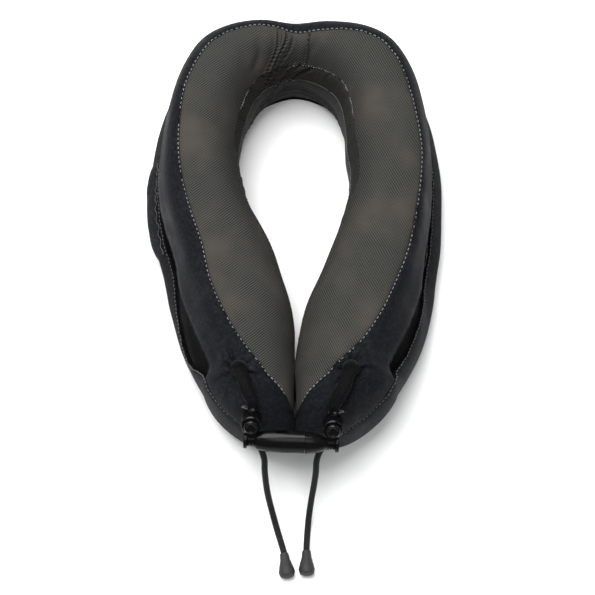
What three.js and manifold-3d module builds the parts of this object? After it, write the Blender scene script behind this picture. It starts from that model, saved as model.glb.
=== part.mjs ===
// Closed-ring memory-foam neck support: a teardrop foam ring in a zipped cover, closed at the front by a
// barrel clasp with two cord locks. Millimetres. +X is the wearer's left, +Y the back of the ring, +Z up.
// It stands on its flat underside, with the origin at the middle of the box under it.
import * as THREE from "three";
import { mergeVertices } from "three/addons/utils/BufferGeometryUtils.js";
import Module from "manifold-3d";

const wasm = await Module();
wasm.setup();

// ---- driving dimensions ----

// The ring of one half, from the centre of the back to the root of the rounded front end. Each row holds
// the inner point, the outer point, the height, the outer seam's angle on the section, and how far the
// inner and outer points lean towards +X.
const STATIONS = [
  { inner: [0, 136], outer: [0, 172.3], height: 91, seam: 78, innerLean: 0, lean: 0 },
  { inner: [14, 131], outer: [28, 172.4], height: 97, seam: 73, innerLean: 0, lean: 0 },
  { inner: [26, 121], outer: [55, 167.5], height: 103, seam: 69, innerLean: 0, lean: 0 },
  { inner: [34, 107], outer: [77, 155], height: 107, seam: 67, innerLean: 0, lean: 0 },
  { inner: [39, 88], outer: [93, 133], height: 108, seam: 67, innerLean: -1, lean: 0 },
  { inner: [41, 68], outer: [103, 105], height: 108, seam: 67, innerLean: -2, lean: 0 },
  { inner: [41, 50], outer: [109, 70], height: 106, seam: 67, innerLean: 0, lean: 1 },
  { inner: [37, 29], outer: [110, 37], height: 103, seam: 68, innerLean: 2, lean: 1 },
  { inner: [28, 6], outer: [107, 8], height: 100, seam: 69, innerLean: 4, lean: 2 },
  { inner: [17, -20], outer: [101, -20], height: 97, seam: 70, innerLean: 4.5, lean: 4 },
  { inner: [6.5, -48], outer: [97.5, -48], height: 94, seam: 74, innerLean: 3, lean: 4.5 },
  { inner: [1.2, -76], outer: [90.5, -76], height: 91, seam: 82, innerLean: 1.5, lean: 5 },
  { inner: [0.6, -100], outer: [81, -100], height: 88, seam: 94, innerLean: 0, lean: 4.5 },
  { inner: [0.6, -116], outer: [72, -116], height: 85, seam: 109, innerLean: 0, lean: 4 },
];
const LAST = STATIONS.length - 1;
const CAP_LENGTH = 42; // from the last station to the front of the ring
const CAP_MIDDLE_Z = 40;
const CAP_INNER_ROUNDING = 8;
const HALF_GAP = 0.3; // from the middle plane to each half
const MIDDLE_HEIGHT = 0.46; // where a section is widest, as a part of its height
const UPPER_POWER = 2.3;
const LOWER_POWER = 2.6;
const UNDERSIDE_SQUASH = 1.15; // the section runs this far below its flat underside

// Angles on a section, in degrees: 0 faces out, 90 up, 180 into the neck hole and 270 down.
const BASE_OUTER = -55;
const BASE_INNER = 235;
const CHANNEL_MIDDLE = -1;
const CHANNEL_HALF = 9;
const CHANNEL_STATIONS = [1.4, 12.9];
const GUSSET_STATIONS = [1.75, 12.55];
const POCKET_STATIONS = [5.9, 8.4];
const INNER_SEAM_BACK = 150;
const INNER_SEAM_END = 229;
const INNER_SEAM_STATIONS = 9;
const INNER_PANELS_END = 8.4;
const COLLAR_SHARE = 0.3;
const TIP_SEAM = 158;
const TIP_AT = 0.55; // where the top panel's point lies on the rounded end
const TOP_PANEL_END = 0.78; // and where it runs out between the legs
const SEAM_GAP = 0.6; // degrees between neighbouring panels

// Depths below the cover's surface.
const COVER = [0, 2.4];
const CHANNEL_FLOOR = [2, 3.6];
const FOAM = 6.4;
const POCKET = [-2.4, -0.3];

const RING_STATIONS = [0, 0.9, 1.75, 2.9, 3.9, 4.9, 5.9, 7, 8.4, 9.6, 10.8, 11.8, 12.55, 13];
const CAP_ANGLES = [18, 29, 49, 65, 76, 84];

// Clasp, in its own frame: x along the barrel, y up the clasp, z out of its face.
const CLASP_CENTRE = [-2.6, -164.7, 73.4];
const CLASP_TILT = 3; // degrees, the plug's end lower
const CLASP_LEAN = 45; // degrees that the face looks up from the horizontal
const OVAL = 0.74;
const PARTING = 9.5;
const PARTING_GAP = 0.4;
const BARREL_END = 34;
const FLANGE_R = 6.3;
const FLANGE_INNER = 31.6;
const NECK_END = 25.5;
const CAVITY_R = 6.2;
const CAVITY_OVAL = 0.62;
const CAVITY_END = -16;
const WINDOW = { x: [-11, -3], half: 2.2 };
const TONGUE = { x: [-11, 11], y: 1, z: 2.2 };
const ARM = { x: [-9, 9.4], y: [2.4, 3.6], barb: [-9, -3], barbY: 4.2, z: 2.2 };

const LOCK_X = 29;
const LOCK_Y = 13.6;
const LOCK_R = 7.2;
const LOCK_Z = [-9.2, 4.6];
const LOCK_BORE_R = 5.6;
const LOCK_FLOOR = -2.6;
const BUTTON_R = 5.2;
const BUTTON_Z = [1.4, 8.2];
const CORD_HOLE_R = 2.8;
const CORD_HOLE_Z = -5.9;
const SPRING = { r: 3, wire: 0.35, turns: 3, z: [-2.0, 0.95] };

const CORD_R = 2.3;
const CORD_START_Y = 23.7;
const SLEEVE_END_Y = 24;
const EYELET = { at: [40, -114, 86.2], inner: 4.7, outer: 6.6, height: 1.6, lean: 8 };
const KEEPER = { inner: 4.3, outer: 5.3, width: 2.4 };
const BELL = { length: 19, neck: 3.2, mouth: 6 };

const ZIP = { x: -64, y: [-52, 66], slot: 11, tape: 18, coil: 4.4 };
const SLIDER = { length: 9, width: 7.2, plate: [0.35, 1.0], wall: 1, top: 2.2, y: -44 };
const PULL = { length: 15, width: 3.6, z: [0.35, 1.0] };

// ---- solids ----

const rad = THREE.MathUtils.degToRad;
const vec = (x, y, z) => new THREE.Vector3(x, y, z);

function closed(points, triangles) {
  const g = new THREE.BufferGeometry();
  g.setAttribute("position", new THREE.Float32BufferAttribute(points.flatMap((p) => [p.x, p.y, p.z]), 3));
  let volume = 0;
  for (const [a, b, c] of triangles) volume += points[a].dot(points[b].clone().cross(points[c]));
  const facing = volume > 0 ? triangles : triangles.map(([a, b, c]) => [a, c, b]);
  g.setIndex(facing.flat());
  return g;
}

// A closed body through rings of points, with a fan across each end.
function loft(rings) {
  const n = rings[0].length;
  const points = rings.flat();
  const triangles = [];
  for (let i = 0; i + 1 < rings.length; i++)
    for (let j = 0; j < n; j++) {
      const a = i * n + j;
      const b = i * n + ((j + 1) % n);
      triangles.push([a, b, b + n], [a, b + n, a + n]);
    }
  const middle = (ring) => ring.reduce((s, p) => s.add(p), vec(0, 0, 0)).divideScalar(n);
  const first = points.push(middle(rings[0])) - 1;
  const last = points.push(middle(rings.at(-1))) - 1;
  const end = (rings.length - 1) * n;
  for (let j = 0; j < n; j++) {
    triangles.push([first, (j + 1) % n, j]);
    triangles.push([last, end + j, end + ((j + 1) % n)]);
  }
  return closed(points, triangles);
}

// A sheet with thickness, from a grid of outer points and a grid of inner points.
function thickSheet(outer, inner) {
  const rows = outer.length;
  const cols = outer[0].length;
  const points = [...outer.flat(), ...inner.flat()];
  const at = (i, j, layer) => layer * rows * cols + i * cols + j;
  const triangles = [];
  const quad = (a, b, c, d) => triangles.push([a, b, c], [a, c, d]);
  for (let i = 0; i + 1 < rows; i++)
    for (let j = 0; j + 1 < cols; j++) {
      quad(at(i, j, 0), at(i + 1, j, 0), at(i + 1, j + 1, 0), at(i, j + 1, 0));
      quad(at(i, j, 1), at(i, j + 1, 1), at(i + 1, j + 1, 1), at(i + 1, j, 1));
    }
  for (let i = 0; i + 1 < rows; i++) {
    quad(at(i, 0, 0), at(i, 0, 1), at(i + 1, 0, 1), at(i + 1, 0, 0));
    quad(at(i, cols - 1, 0), at(i + 1, cols - 1, 0), at(i + 1, cols - 1, 1), at(i, cols - 1, 1));
  }
  for (let j = 0; j + 1 < cols; j++) {
    quad(at(0, j, 0), at(0, j + 1, 0), at(0, j + 1, 1), at(0, j, 1));
    quad(at(rows - 1, j, 0), at(rows - 1, j, 1), at(rows - 1, j + 1, 1), at(rows - 1, j + 1, 0));
  }
  return closed(points, triangles);
}

function toSolid(geometry) {
  const g = geometry.index ? geometry.toNonIndexed() : geometry.clone();
  g.deleteAttribute("normal");
  g.deleteAttribute("uv");
  const merged = mergeVertices(g, 1e-4);
  return new wasm.Manifold(
    new wasm.Mesh({
      numProp: 3,
      vertProperties: merged.attributes.position.array,
      triVerts: new Uint32Array(merged.index.array),
    }),
  );
}

function toGeometry(solid) {
  const m = solid.getMesh();
  const g = new THREE.BufferGeometry();
  g.setAttribute("position", new THREE.BufferAttribute(m.vertProperties, 3));
  g.setIndex(new THREE.BufferAttribute(m.triVerts, 1));
  return g;
}

const box = (x, y, z) =>
  new THREE.BoxGeometry(x[1] - x[0], y[1] - y[0], z[1] - z[0]).translate(
    (x[0] + x[1]) / 2,
    (y[0] + y[1]) / 2,
    (z[0] + z[1]) / 2,
  );

// A turned body about +Z through [radius, z] points, first and last on the axis.
const turned = (profile, sides = 36) =>
  new THREE.LatheGeometry(profile.map(([r, z]) => new THREE.Vector2(r, z)), sides).rotateX(Math.PI / 2);

const plain = (geometry) => {
  const g = toSolid(geometry);
  return g.volume() < 0 ? closed(...flipped(geometry)) : geometry;
};

function flipped(geometry) {
  const g = mergeVertices(geometry.clone().deleteAttribute("normal").deleteAttribute("uv"), 1e-4);
  const p = g.attributes.position;
  const points = Array.from({ length: p.count }, (_, i) => new THREE.Vector3().fromBufferAttribute(p, i));
  const ix = g.index.array;
  return [points, Array.from({ length: ix.length / 3 }, (_, i) => [ix[3 * i], ix[3 * i + 1], ix[3 * i + 2]])];
}

// ---- the ring's surface ----

const curveOf = (key) =>
  new THREE.CatmullRomCurve3(STATIONS.map((s) => vec(s[key][0], s[key][1], 0)), false, "catmullrom", 0.5);
const innerCurve = curveOf("inner");
const outerCurve = curveOf("outer");

function between(key, t) {
  const i = Math.min(Math.floor(t), LAST - 1);
  return THREE.MathUtils.lerp(STATIONS[i][key], STATIONS[i + 1][key], t - i);
}

const power = (value, exponent) => Math.sign(value) * Math.abs(value) ** exponent;

// Half of the ring at station t, from 0 to LAST, and on over the rounded end to LAST + 1.
function section(side, t) {
  const onRing = Math.min(t, LAST);
  const inner = innerCurve.getPoint(onRing / LAST);
  const outer = outerCurve.getPoint(onRing / LAST);
  inner.x += side * between("innerLean", onRing);
  outer.x += side * between("lean", onRing);
  const height = between("height", onRing);
  let middle = height * MIDDLE_HEIGHT;
  let width = 1;
  let top = 1;
  let bottom = 1;
  const u = Math.max(0, t - LAST);
  if (u > 0) {
    width = (1 - u ** 1.3) ** (1 / 2.4);
    top = (1 - u ** 2.6) ** (1 / 2.2);
    bottom = (1 - u ** 3) ** (1 / 2.2);
    middle = THREE.MathUtils.lerp(middle, CAP_MIDDLE_Z, u);
    inner.x += CAP_INNER_ROUNDING * u ** 4;
    outer.x = inner.x + (outer.x - inner.x) * width;
    inner.y -= CAP_LENGTH * u;
    outer.y -= CAP_LENGTH * u;
  }
  const half = outer.clone().sub(inner).multiplyScalar(0.5);
  return {
    centre: inner.clone().add(half),
    across: half.clone().normalize(),
    half: half.length(),
    middle,
    up: (height - middle) * top,
    down: middle * UNDERSIDE_SQUASH * bottom,
    floor: middle * (1 - bottom),
    end: u,
  };
}

// The point at an angle on a section, a depth below the cover's surface.
function surface(side, t, degrees, depth) {
  const s = section(side, t);
  const shrink = depth > 0 && s.end > 0 ? depth * s.end : 0;
  const c = Math.cos(rad(degrees));
  const w = Math.sin(rad(degrees));
  const bend = 2 / (w > 0 ? UPPER_POWER : LOWER_POWER);
  const reach = Math.max(s.half - depth, 0.3) * power(c, bend);
  const rise = Math.max((w > 0 ? s.up : s.down) - depth, 0.3) * power(w, bend);
  const p = s.centre.clone().addScaledVector(s.across, reach);
  p.z = Math.max(s.middle + rise, s.floor + depth, depth);
  p.x = Math.max(p.x, HALF_GAP);
  p.y += shrink;
  p.x *= side;
  return p;
}

const capStation = (degrees) => LAST + Math.sin(rad(degrees)) ** 1.25;
const ALL_STATIONS = [
  ...RING_STATIONS,
  LAST + TIP_AT,
  LAST + TOP_PANEL_END,
  ...CAP_ANGLES.map(capStation),
].sort((a, b) => a - b);

function seamOuter(t) {
  if (t <= LAST) return between("seam", t);
  const end = t - LAST;
  if (end <= TIP_AT) return THREE.MathUtils.lerp(STATIONS[LAST].seam, TIP_SEAM, end / TIP_AT);
  const along = (end - TIP_AT) / (TOP_PANEL_END - TIP_AT);
  return THREE.MathUtils.lerp(TIP_SEAM, BASE_INNER - 4, Math.min(along, 1));
}

function seamInner(t) {
  const along = Math.min(t / INNER_SEAM_STATIONS, 1);
  return THREE.MathUtils.lerp(INNER_SEAM_BACK, INNER_SEAM_END, along ** 1.3);
}

function channelHalf(t) {
  const [from, to] = CHANNEL_STATIONS;
  const along = (t - from) / (to - from);
  return along <= 0 || along >= 1 ? 0 : CHANNEL_HALF * Math.min(1, 3.2 * Math.sqrt(along * (1 - along)));
}

const channelTop = (t) => CHANNEL_MIDDLE + channelHalf(t);
const channelBottom = (t) => CHANNEL_MIDDLE - channelHalf(t);
const seamMiddle = (t) => THREE.MathUtils.lerp(seamInner(t), BASE_INNER, COLLAR_SHARE);

// A panel of the cover between two angles, over the stations from first to last.
function panel(side, from, to, [depthOut, depthIn], steps, first = 0, last = LAST + 1) {
  const stations = ALL_STATIONS.filter((t) => t >= first && t <= last);
  const grid = (depth) =>
    stations.map((t) => {
      const a = from(t) + SEAM_GAP / 2;
      const b = to(t) - SEAM_GAP / 2;
      return Array.from({ length: steps + 1 }, (_, j) => surface(side, t, a + ((b - a) * j) / steps, depth));
    });
  return thickSheet(grid(depthOut), grid(depthIn));
}

function foamCore(side) {
  const SIDES = 20;
  return loft(
    ALL_STATIONS.slice(0, -1).map((t) =>
      Array.from({ length: SIDES }, (_, j) => surface(side, t, (360 * j) / SIDES, FOAM)),
    ),
  );
}

function basePanel(side) {
  const sheet = panel(side, () => BASE_INNER, () => 360 + BASE_OUTER, COVER, 4);
  if (side > 0) return sheet;
  const half = ZIP.slot / 2;
  return toGeometry(toSolid(sheet).subtract(toSolid(box([ZIP.x - half, ZIP.x + half], ZIP.y, [-1, 4]))));
}

// ---- clasp ----

// Half of the clasp's turned outline, from its flange to the parting, for x growing towards the barrel.
function outline(reach, shoulder) {
  const ridges = [0, 1, 2].flatMap((i) => {
    const x = FLANGE_INNER - 0.6 - i * 1.9;
    return [
      [3.9, -x],
      [4.7, -x + 0.4],
      [4.7, -x + 1],
      [3.9, -x + 1.4],
    ];
  });
  return [
    [0, -BARREL_END],
    [FLANGE_R - 0.5, -BARREL_END],
    [FLANGE_R, -BARREL_END + 0.6],
    [FLANGE_R, -FLANGE_INNER],
    ...ridges,
    ...shoulder,
    [8.3, reach],
    [0, reach],
  ];
}

// A turned outline about x, flattened front to back.
const barrel = (profile, oval = OVAL) => plain(turned(profile).rotateY(Math.PI / 2).scale(1, 1, oval));

const lockBody = (sign) => {
  const chamfer = 0.8;
  const profile = [
    [0, LOCK_Z[0]],
    [LOCK_R - chamfer, LOCK_Z[0]],
    [LOCK_R, LOCK_Z[0] + chamfer],
    [LOCK_R, LOCK_Z[1] - chamfer],
    [LOCK_R - chamfer, LOCK_Z[1]],
    [0, LOCK_Z[1]],
  ];
  const web = box([sign * LOCK_X - 4, sign * LOCK_X + 4], [2.5, 9], [-3, 2.6]);
  return toSolid(plain(turned(profile).translate(sign * LOCK_X, LOCK_Y, 0))).add(toSolid(web));
};

function lockHoles(sign) {
  const bore = turned([[0, LOCK_FLOOR], [LOCK_BORE_R, LOCK_FLOOR], [LOCK_BORE_R, 9], [0, 9]]);
  const cord = new THREE.CylinderGeometry(CORD_HOLE_R, CORD_HOLE_R, 24, 16).translate(0, 0, CORD_HOLE_Z);
  return [bore, cord].map((g) => toSolid(plain(g.translate(sign * LOCK_X, LOCK_Y, 0))));
}

function claspSocket() {
  const body = outline(PARTING, [
    [5.6, -NECK_END],
    [6.7, -NECK_END + 1.5],
    [8, -17],
    [8.6, -6],
  ]);
  const cavity = barrel([[0, CAVITY_END], [CAVITY_R, CAVITY_END], [CAVITY_R, 20], [0, 20]], CAVITY_OVAL);
  let solid = toSolid(barrel(body)).add(lockBody(-1)).subtract(toSolid(cavity));
  solid = solid.subtract(toSolid(box(WINDOW.x, [-12, 12], [-WINDOW.half, WINDOW.half])));
  for (const hole of lockHoles(-1)) solid = solid.subtract(hole);
  return toGeometry(solid);
}

function claspPlug() {
  const face = -(PARTING + PARTING_GAP);
  const body = outline(face, [
    [4.6, -24],
    [5.4, -23],
    [7, -19],
    [7.9, -14],
  ]);
  const shell = barrel(body).rotateZ(Math.PI);
  const tongue = box(TONGUE.x, [-TONGUE.y, TONGUE.y], [-TONGUE.z, TONGUE.z]);
  let solid = toSolid(shell).add(lockBody(1)).add(toSolid(tongue));
  for (const hole of lockHoles(1)) solid = solid.subtract(hole);
  return toGeometry(solid);
}

// A sprung arm that starts just off the plug's face and ends in a barb.
function latchArm(sign) {
  const shape = new THREE.Shape();
  const outlinePoints = [
    [ARM.x[1], ARM.y[0]],
    [ARM.x[1], ARM.y[1]],
    [ARM.barb[1], ARM.y[1]],
    [ARM.barb[1] - 0.4, ARM.barbY],
    [ARM.barb[0] + 3, ARM.barbY],
    [ARM.x[0], ARM.y[0] + 0.6],
    [ARM.x[0], ARM.y[0]],
  ];
  shape.setFromPoints(outlinePoints.map(([x, y]) => new THREE.Vector2(x, sign * y)));
  const depth = 2 * ARM.z;
  return new THREE.ExtrudeGeometry(shape, { depth, bevelEnabled: false }).translate(0, 0, -ARM.z);
}

function lockButton(sign) {
  const [low, high] = BUTTON_Z;
  const profile = [
    [0, low],
    [BUTTON_R, low],
    [BUTTON_R, high - 1.2],
    [BUTTON_R - 0.9, high - 0.2],
    [BUTTON_R - 1.6, high],
    [BUTTON_R - 2.4, high - 0.6],
    [0, high - 0.8],
  ];
  return plain(turned(profile).translate(sign * LOCK_X, LOCK_Y, 0));
}

function ringSection(radius, sides) {
  const shape = new THREE.Shape();
  const points = Array.from({ length: sides }, (_, i) => (2 * Math.PI * i) / sides);
  shape.setFromPoints(points.map((a) => new THREE.Vector2(radius * Math.cos(a), radius * Math.sin(a))));
  return shape;
}

const tube = (curve, radius, sides, steps) =>
  new THREE.ExtrudeGeometry(ringSection(radius, sides), { steps, extrudePath: curve, bevelEnabled: false });

function lockSpring(sign) {
  const count = 12 * SPRING.turns;
  const points = Array.from({ length: count + 1 }, (_, i) => {
    const a = (2 * Math.PI * i) / 12;
    const z = THREE.MathUtils.lerp(SPRING.z[0], SPRING.z[1], i / count);
    return vec(SPRING.r * Math.cos(a), SPRING.r * Math.sin(a), z);
  });
  const coil = tube(new THREE.CatmullRomCurve3(points), SPRING.wire, 6, count);
  return coil.translate(sign * LOCK_X, LOCK_Y, 0);
}

// ---- cords and what holds them ----

const claspFrame = new THREE.Matrix4()
  .makeTranslation(...CLASP_CENTRE)
  .multiply(new THREE.Matrix4().makeRotationX(rad(90 - CLASP_LEAN)))
  .multiply(new THREE.Matrix4().makeRotationZ(rad(-CLASP_TILT)));
const fromClasp = (x, y, z) => vec(x, y, z).applyMatrix4(claspFrame);

// Each cord runs down through its lock, behind the barrel, and down to the surface that the ring stands on.
const LEFT_TAIL = [
  [-22, -171.5, 54],
  [-21.8, -177.5, 46.5],
  [-21.2, -182.5, 38.5],
  [-20.4, -187, 30],
  [-19.2, -191.2, 21.5],
  [-17.6, -196, 13.5],
  [-15.6, -202.2, 6.8],
  [-13.2, -210, 3.2],
  [-10.8, -218, 2.6],
  [-9, -224, 3.2],
  [-8, -228, 4.4],
];
const RIGHT_TAIL = [
  [15.6, -172.5, 53],
  [15.1, -178.5, 45.5],
  [14.2, -183.5, 37.5],
  [13.1, -188, 29],
  [12, -192.2, 20.5],
  [11, -197, 12.5],
  [10, -203, 6.2],
  [9.3, -210, 3.1],
  [8.8, -217, 2.6],
  [8.5, -222, 3.2],
  [8.4, -226, 4.4],
];
const BELL_ENDS = { left: [-5.4, -246, 6.3], right: [8.6, -244, 6.3] };

function cordCurve(sign, tail) {
  const held = [
    [LOCK_X, CORD_START_Y, CORD_HOLE_Z],
    [LOCK_X, LOCK_Y + 4, CORD_HOLE_Z],
    [LOCK_X, LOCK_Y - 4, CORD_HOLE_Z],
    [LOCK_X - 0.3, 5, CORD_HOLE_Z - 0.5],
    [LOCK_X - 2.4, 0, CORD_HOLE_Z - 2.2],
    [LOCK_X - 5.4, -6, CORD_HOLE_Z - 3],
    [LOCK_X - 8.2, -12, CORD_HOLE_Z - 3],
  ].map(([x, y, z]) => fromClasp(sign * x, y, z));
  return new THREE.CatmullRomCurve3([...held, ...tail.map((p) => vec(...p))]);
}

// The bell-shaped end, from its narrow neck just past the cord to its wide, rounded mouth.
function bell(tail, end) {
  const start = vec(...tail.at(-1));
  const axis = vec(...end).sub(start).normalize();
  const { length, neck, mouth } = BELL;
  const profile = [
    [0, 0.6],
    [neck - 0.4, 0.6],
    [neck, 1],
    [neck + 0.5, 6],
    [mouth - 0.9, 11],
    [mouth, length - 4],
    [mouth - 0.9, length - 1],
    [mouth - 3, length],
    [0, length],
  ];
  const g = plain(turned(profile, 28));
  g.applyQuaternion(new THREE.Quaternion().setFromUnitVectors(vec(0, 0, 1), axis));
  return g.translate(start.x, start.y, start.z);
}

// The fabric sleeve that holds the cord from the shoulder to the lock, flatter than it is wide.
function sleeveCurve(sign) {
  const [x, y, z] = EYELET.at;
  const end = fromClasp(sign * LOCK_X, SLEEVE_END_Y, CORD_HOLE_Z);
  const approach = fromClasp(sign * LOCK_X, SLEEVE_END_Y + 5, CORD_HOLE_Z + 0.2);
  return new THREE.CatmullRomCurve3([
    vec(sign * x, y, z + 0.6),
    vec(sign * (x - 0.3), y - 2.4, z + 4.4),
    vec(sign * (x - 1.4), y - 8.5, z + 7.2),
    vec(sign * (x - 3.6), y - 16, z + 7.6),
    approach,
    end,
  ]);
}

function sleeve(sign) {
  const curve = sleeveCurve(sign);
  const STEPS = 12;
  const SIDES = 10;
  const frames = curve.computeFrenetFrames(STEPS, false);
  const level = vec(1, 0, 0);
  const rings = Array.from({ length: STEPS + 1 }, (_, i) => {
    const u = i / STEPS;
    const centre = curve.getPointAt(u);
    const along = frames.tangents[i];
    const wide = level.clone().addScaledVector(along, -level.dot(along)).normalize();
    const thick = along.clone().cross(wide);
    const halfWidth = THREE.MathUtils.lerp(4, 3.2, u);
    const halfThick = THREE.MathUtils.lerp(3, 2.9, u);
    return Array.from({ length: SIDES }, (_, j) => {
      const a = (2 * Math.PI * j) / SIDES;
      return centre
        .clone()
        .addScaledVector(wide, halfWidth * Math.cos(a))
        .addScaledVector(thick, halfThick * Math.sin(a));
    });
  });
  return loft(rings);
}

// A round band of rectangular section, about +Z, with its middle at the origin.
const band = (inner, outer, height) => {
  const h = height / 2;
  const profile = [
    [inner, -h],
    [outer, -h],
    [outer, h],
    [inner, h],
    [inner, -h],
  ];
  return plain(turned(profile, 20));
};

// Each keeper loop goes round its sleeve just above the lock.
function keeper(sign) {
  const curve = sleeveCurve(sign);
  const u = 0.86;
  const g = band(KEEPER.inner, KEEPER.outer, KEEPER.width);
  g.applyQuaternion(new THREE.Quaternion().setFromUnitVectors(vec(0, 0, 1), curve.getTangentAt(u)));
  const p = curve.getPointAt(u);
  return g.translate(p.x, p.y, p.z);
}

function eyelet(sign) {
  const g = band(EYELET.inner, EYELET.outer, EYELET.height).rotateX(rad(EYELET.lean));
  const [x, y, z] = EYELET.at;
  return g.translate(sign * x, y, z + EYELET.height / 2);
}

// ---- zip ----

const zipTape = () => box([ZIP.x - ZIP.tape / 2, ZIP.x + ZIP.tape / 2], ZIP.y, [2.75, 3.4]);
const zipCoil = () => box([ZIP.x - ZIP.coil / 2, ZIP.x + ZIP.coil / 2], [ZIP.y[0] + 1, ZIP.y[1] - 1], [1.35, 2.4]);

function zipSlider() {
  const half = SLIDER.width / 2;
  const y = [SLIDER.y, SLIDER.y + SLIDER.length];
  const plate = toSolid(box([ZIP.x - half, ZIP.x + half], y, SLIDER.plate));
  const wall = (sign) => {
    const x = [ZIP.x + sign * half, ZIP.x + sign * (half - SLIDER.wall)].sort((a, b) => a - b);
    return toSolid(box(x, y, [SLIDER.plate[0], SLIDER.top]));
  };
  return toGeometry(plate.add(wall(1)).add(wall(-1)));
}

function zipPull() {
  const half = PULL.width / 2;
  const start = SLIDER.y + SLIDER.length + 0.4;
  const tab = toSolid(box([ZIP.x - half, ZIP.x + half], [start, start + PULL.length], PULL.z));
  const hole = box([ZIP.x - half + 1, ZIP.x + half - 1], [start + 8, start + PULL.length - 2], [0, 2]);
  return toGeometry(tab.subtract(toSolid(hole)));
}

// ---- assembly ----

const group = new THREE.Group();
const finish = (color, roughness, metalness = 0) => new THREE.MeshStandardMaterial({ color, roughness, metalness });
const GREY = "#4e4c46";
const NAVY = "#20222a";
const BLACK = "#17181a";

function add(parent, name, geometry, color, roughness, metalness) {
  const mesh = new THREE.Mesh(geometry, finish(color, roughness, metalness));
  mesh.name = name;
  parent.add(mesh);
}

const claspGroup = new THREE.Group();
claspFrame.decompose(claspGroup.position, claspGroup.quaternion, claspGroup.scale);
group.add(claspGroup);

for (const [hand, side] of [["left", -1], ["right", 1]]) {
  const tip = LAST + TOP_PANEL_END;
  const topEdge = (t) => (t <= INNER_PANELS_END ? seamInner(t) : BASE_INNER);
  const rollEdge = (t) => (t <= tip ? seamOuter(t) : BASE_INNER);
  add(group, `${hand}_foam_core`, foamCore(side), "#d8d2c0", 0.95);
  add(group, `${hand}_top_panel`, panel(side, seamOuter, topEdge, COVER, 7, 0, tip), GREY, 0.9);
  add(group, `${hand}_inner_collar`, panel(side, seamInner, seamMiddle, COVER, 2, 0, INNER_PANELS_END), GREY, 0.9);
  add(group, `${hand}_inner_mesh`, panel(side, seamMiddle, () => BASE_INNER, COVER, 2, 0, INNER_PANELS_END), BLACK, 0.8);
  add(group, `${hand}_side_roll`, panel(side, channelTop, rollEdge, COVER, 8), NAVY, 0.7);
  const gusset = panel(side, channelBottom, channelTop, CHANNEL_FLOOR, 2, ...GUSSET_STATIONS);
  add(group, `${hand}_vent_gusset`, gusset, BLACK, 0.8);
  add(group, `${hand}_lower_band`, panel(side, () => BASE_OUTER, channelBottom, COVER, 3), NAVY, 0.75);
  add(group, `${hand}_base_panel`, basePanel(side), BLACK, 0.9);
  add(group, `${hand}_cord_sleeve`, sleeve(side), BLACK, 0.7);
  add(group, `${hand}_cord_eyelet`, eyelet(side), BLACK, 0.5);
  add(group, `${hand}_keeper`, keeper(side), "#55565a", 0.6);
  const tail = side < 0 ? LEFT_TAIL : RIGHT_TAIL;
  add(group, `${hand}_cord`, tube(cordCurve(side, tail), CORD_R, 10, 26), BLACK, 0.75);
  add(group, `${hand}_cord_end`, bell(tail, BELL_ENDS[hand]), BLACK, 0.45);
  add(claspGroup, `${hand}_lock_button`, lockButton(side), BLACK, 0.35);
  add(claspGroup, `${hand}_lock_spring`, lockSpring(side), "#9a9da0", 0.35, 1);
}

add(group, "side_pocket", panel(-1, () => -48, () => -13, POCKET, 3, ...POCKET_STATIONS), NAVY, 0.75);
add(claspGroup, "clasp_socket", claspSocket(), BLACK, 0.35);
add(claspGroup, "clasp_plug", claspPlug(), BLACK, 0.35);
add(claspGroup, "upper_latch_arm", latchArm(1), BLACK, 0.35);
add(claspGroup, "lower_latch_arm", latchArm(-1), BLACK, 0.35);
add(group, "zip_tape", zipTape(), BLACK, 0.9);
add(group, "zip_coil", zipCoil(), BLACK, 0.5);
add(group, "zip_slider", zipSlider(), "#3a3b3d", 0.4, 1);
add(group, "zip_pull", zipPull(), "#3a3b3d", 0.4, 1);

export default group;
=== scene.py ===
"""Looks of a closed-ring memory-foam neck support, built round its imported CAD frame.

The ring's surface is worked out from its cross-sections, and every panel of the cover is a stretch of that
surface with its own relief. Sizes are in millimetres, and MM turns them into metres where a mesh is made.
+X is the wearer's left, +Y the back of the ring and +Z up.
"""

import logging
import math
from collections.abc import Callable, Sequence
from dataclasses import dataclass, field
from enum import Enum

import bpy
import numpy as np
from mathutils import Matrix, Vector


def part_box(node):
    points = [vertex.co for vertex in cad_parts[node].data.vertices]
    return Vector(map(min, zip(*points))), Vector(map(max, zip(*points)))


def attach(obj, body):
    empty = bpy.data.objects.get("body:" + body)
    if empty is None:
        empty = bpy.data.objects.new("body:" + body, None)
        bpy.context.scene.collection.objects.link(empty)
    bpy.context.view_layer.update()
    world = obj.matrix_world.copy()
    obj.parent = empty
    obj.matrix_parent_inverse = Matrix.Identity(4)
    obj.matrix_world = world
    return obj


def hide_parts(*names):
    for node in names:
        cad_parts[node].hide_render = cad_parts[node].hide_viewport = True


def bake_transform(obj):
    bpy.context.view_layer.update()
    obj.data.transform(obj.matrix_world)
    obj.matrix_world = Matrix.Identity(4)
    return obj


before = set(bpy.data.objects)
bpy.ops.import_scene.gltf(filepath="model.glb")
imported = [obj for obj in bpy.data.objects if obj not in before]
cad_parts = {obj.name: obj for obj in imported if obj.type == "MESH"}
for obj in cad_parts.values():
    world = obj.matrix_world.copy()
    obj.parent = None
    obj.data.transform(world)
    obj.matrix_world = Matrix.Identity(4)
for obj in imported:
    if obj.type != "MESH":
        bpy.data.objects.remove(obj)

LOG = logging.getLogger("neck_support")
MM = 0.001
WEAVE = "weave"
# Millimetres: the distance to an edge where there is none, the least height above the floor, and the gap
# that is closed before an edge is rounded. Degrees: the angle from which an edge counts as sharp.
EDGELESS = 9.0
WELD_GAP = 0.02
SHARP_EDGE = 32.0
SKIM = 0.05
Array = np.ndarray
Colour = tuple[float, float, float]


# ---- shaders ----


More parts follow.
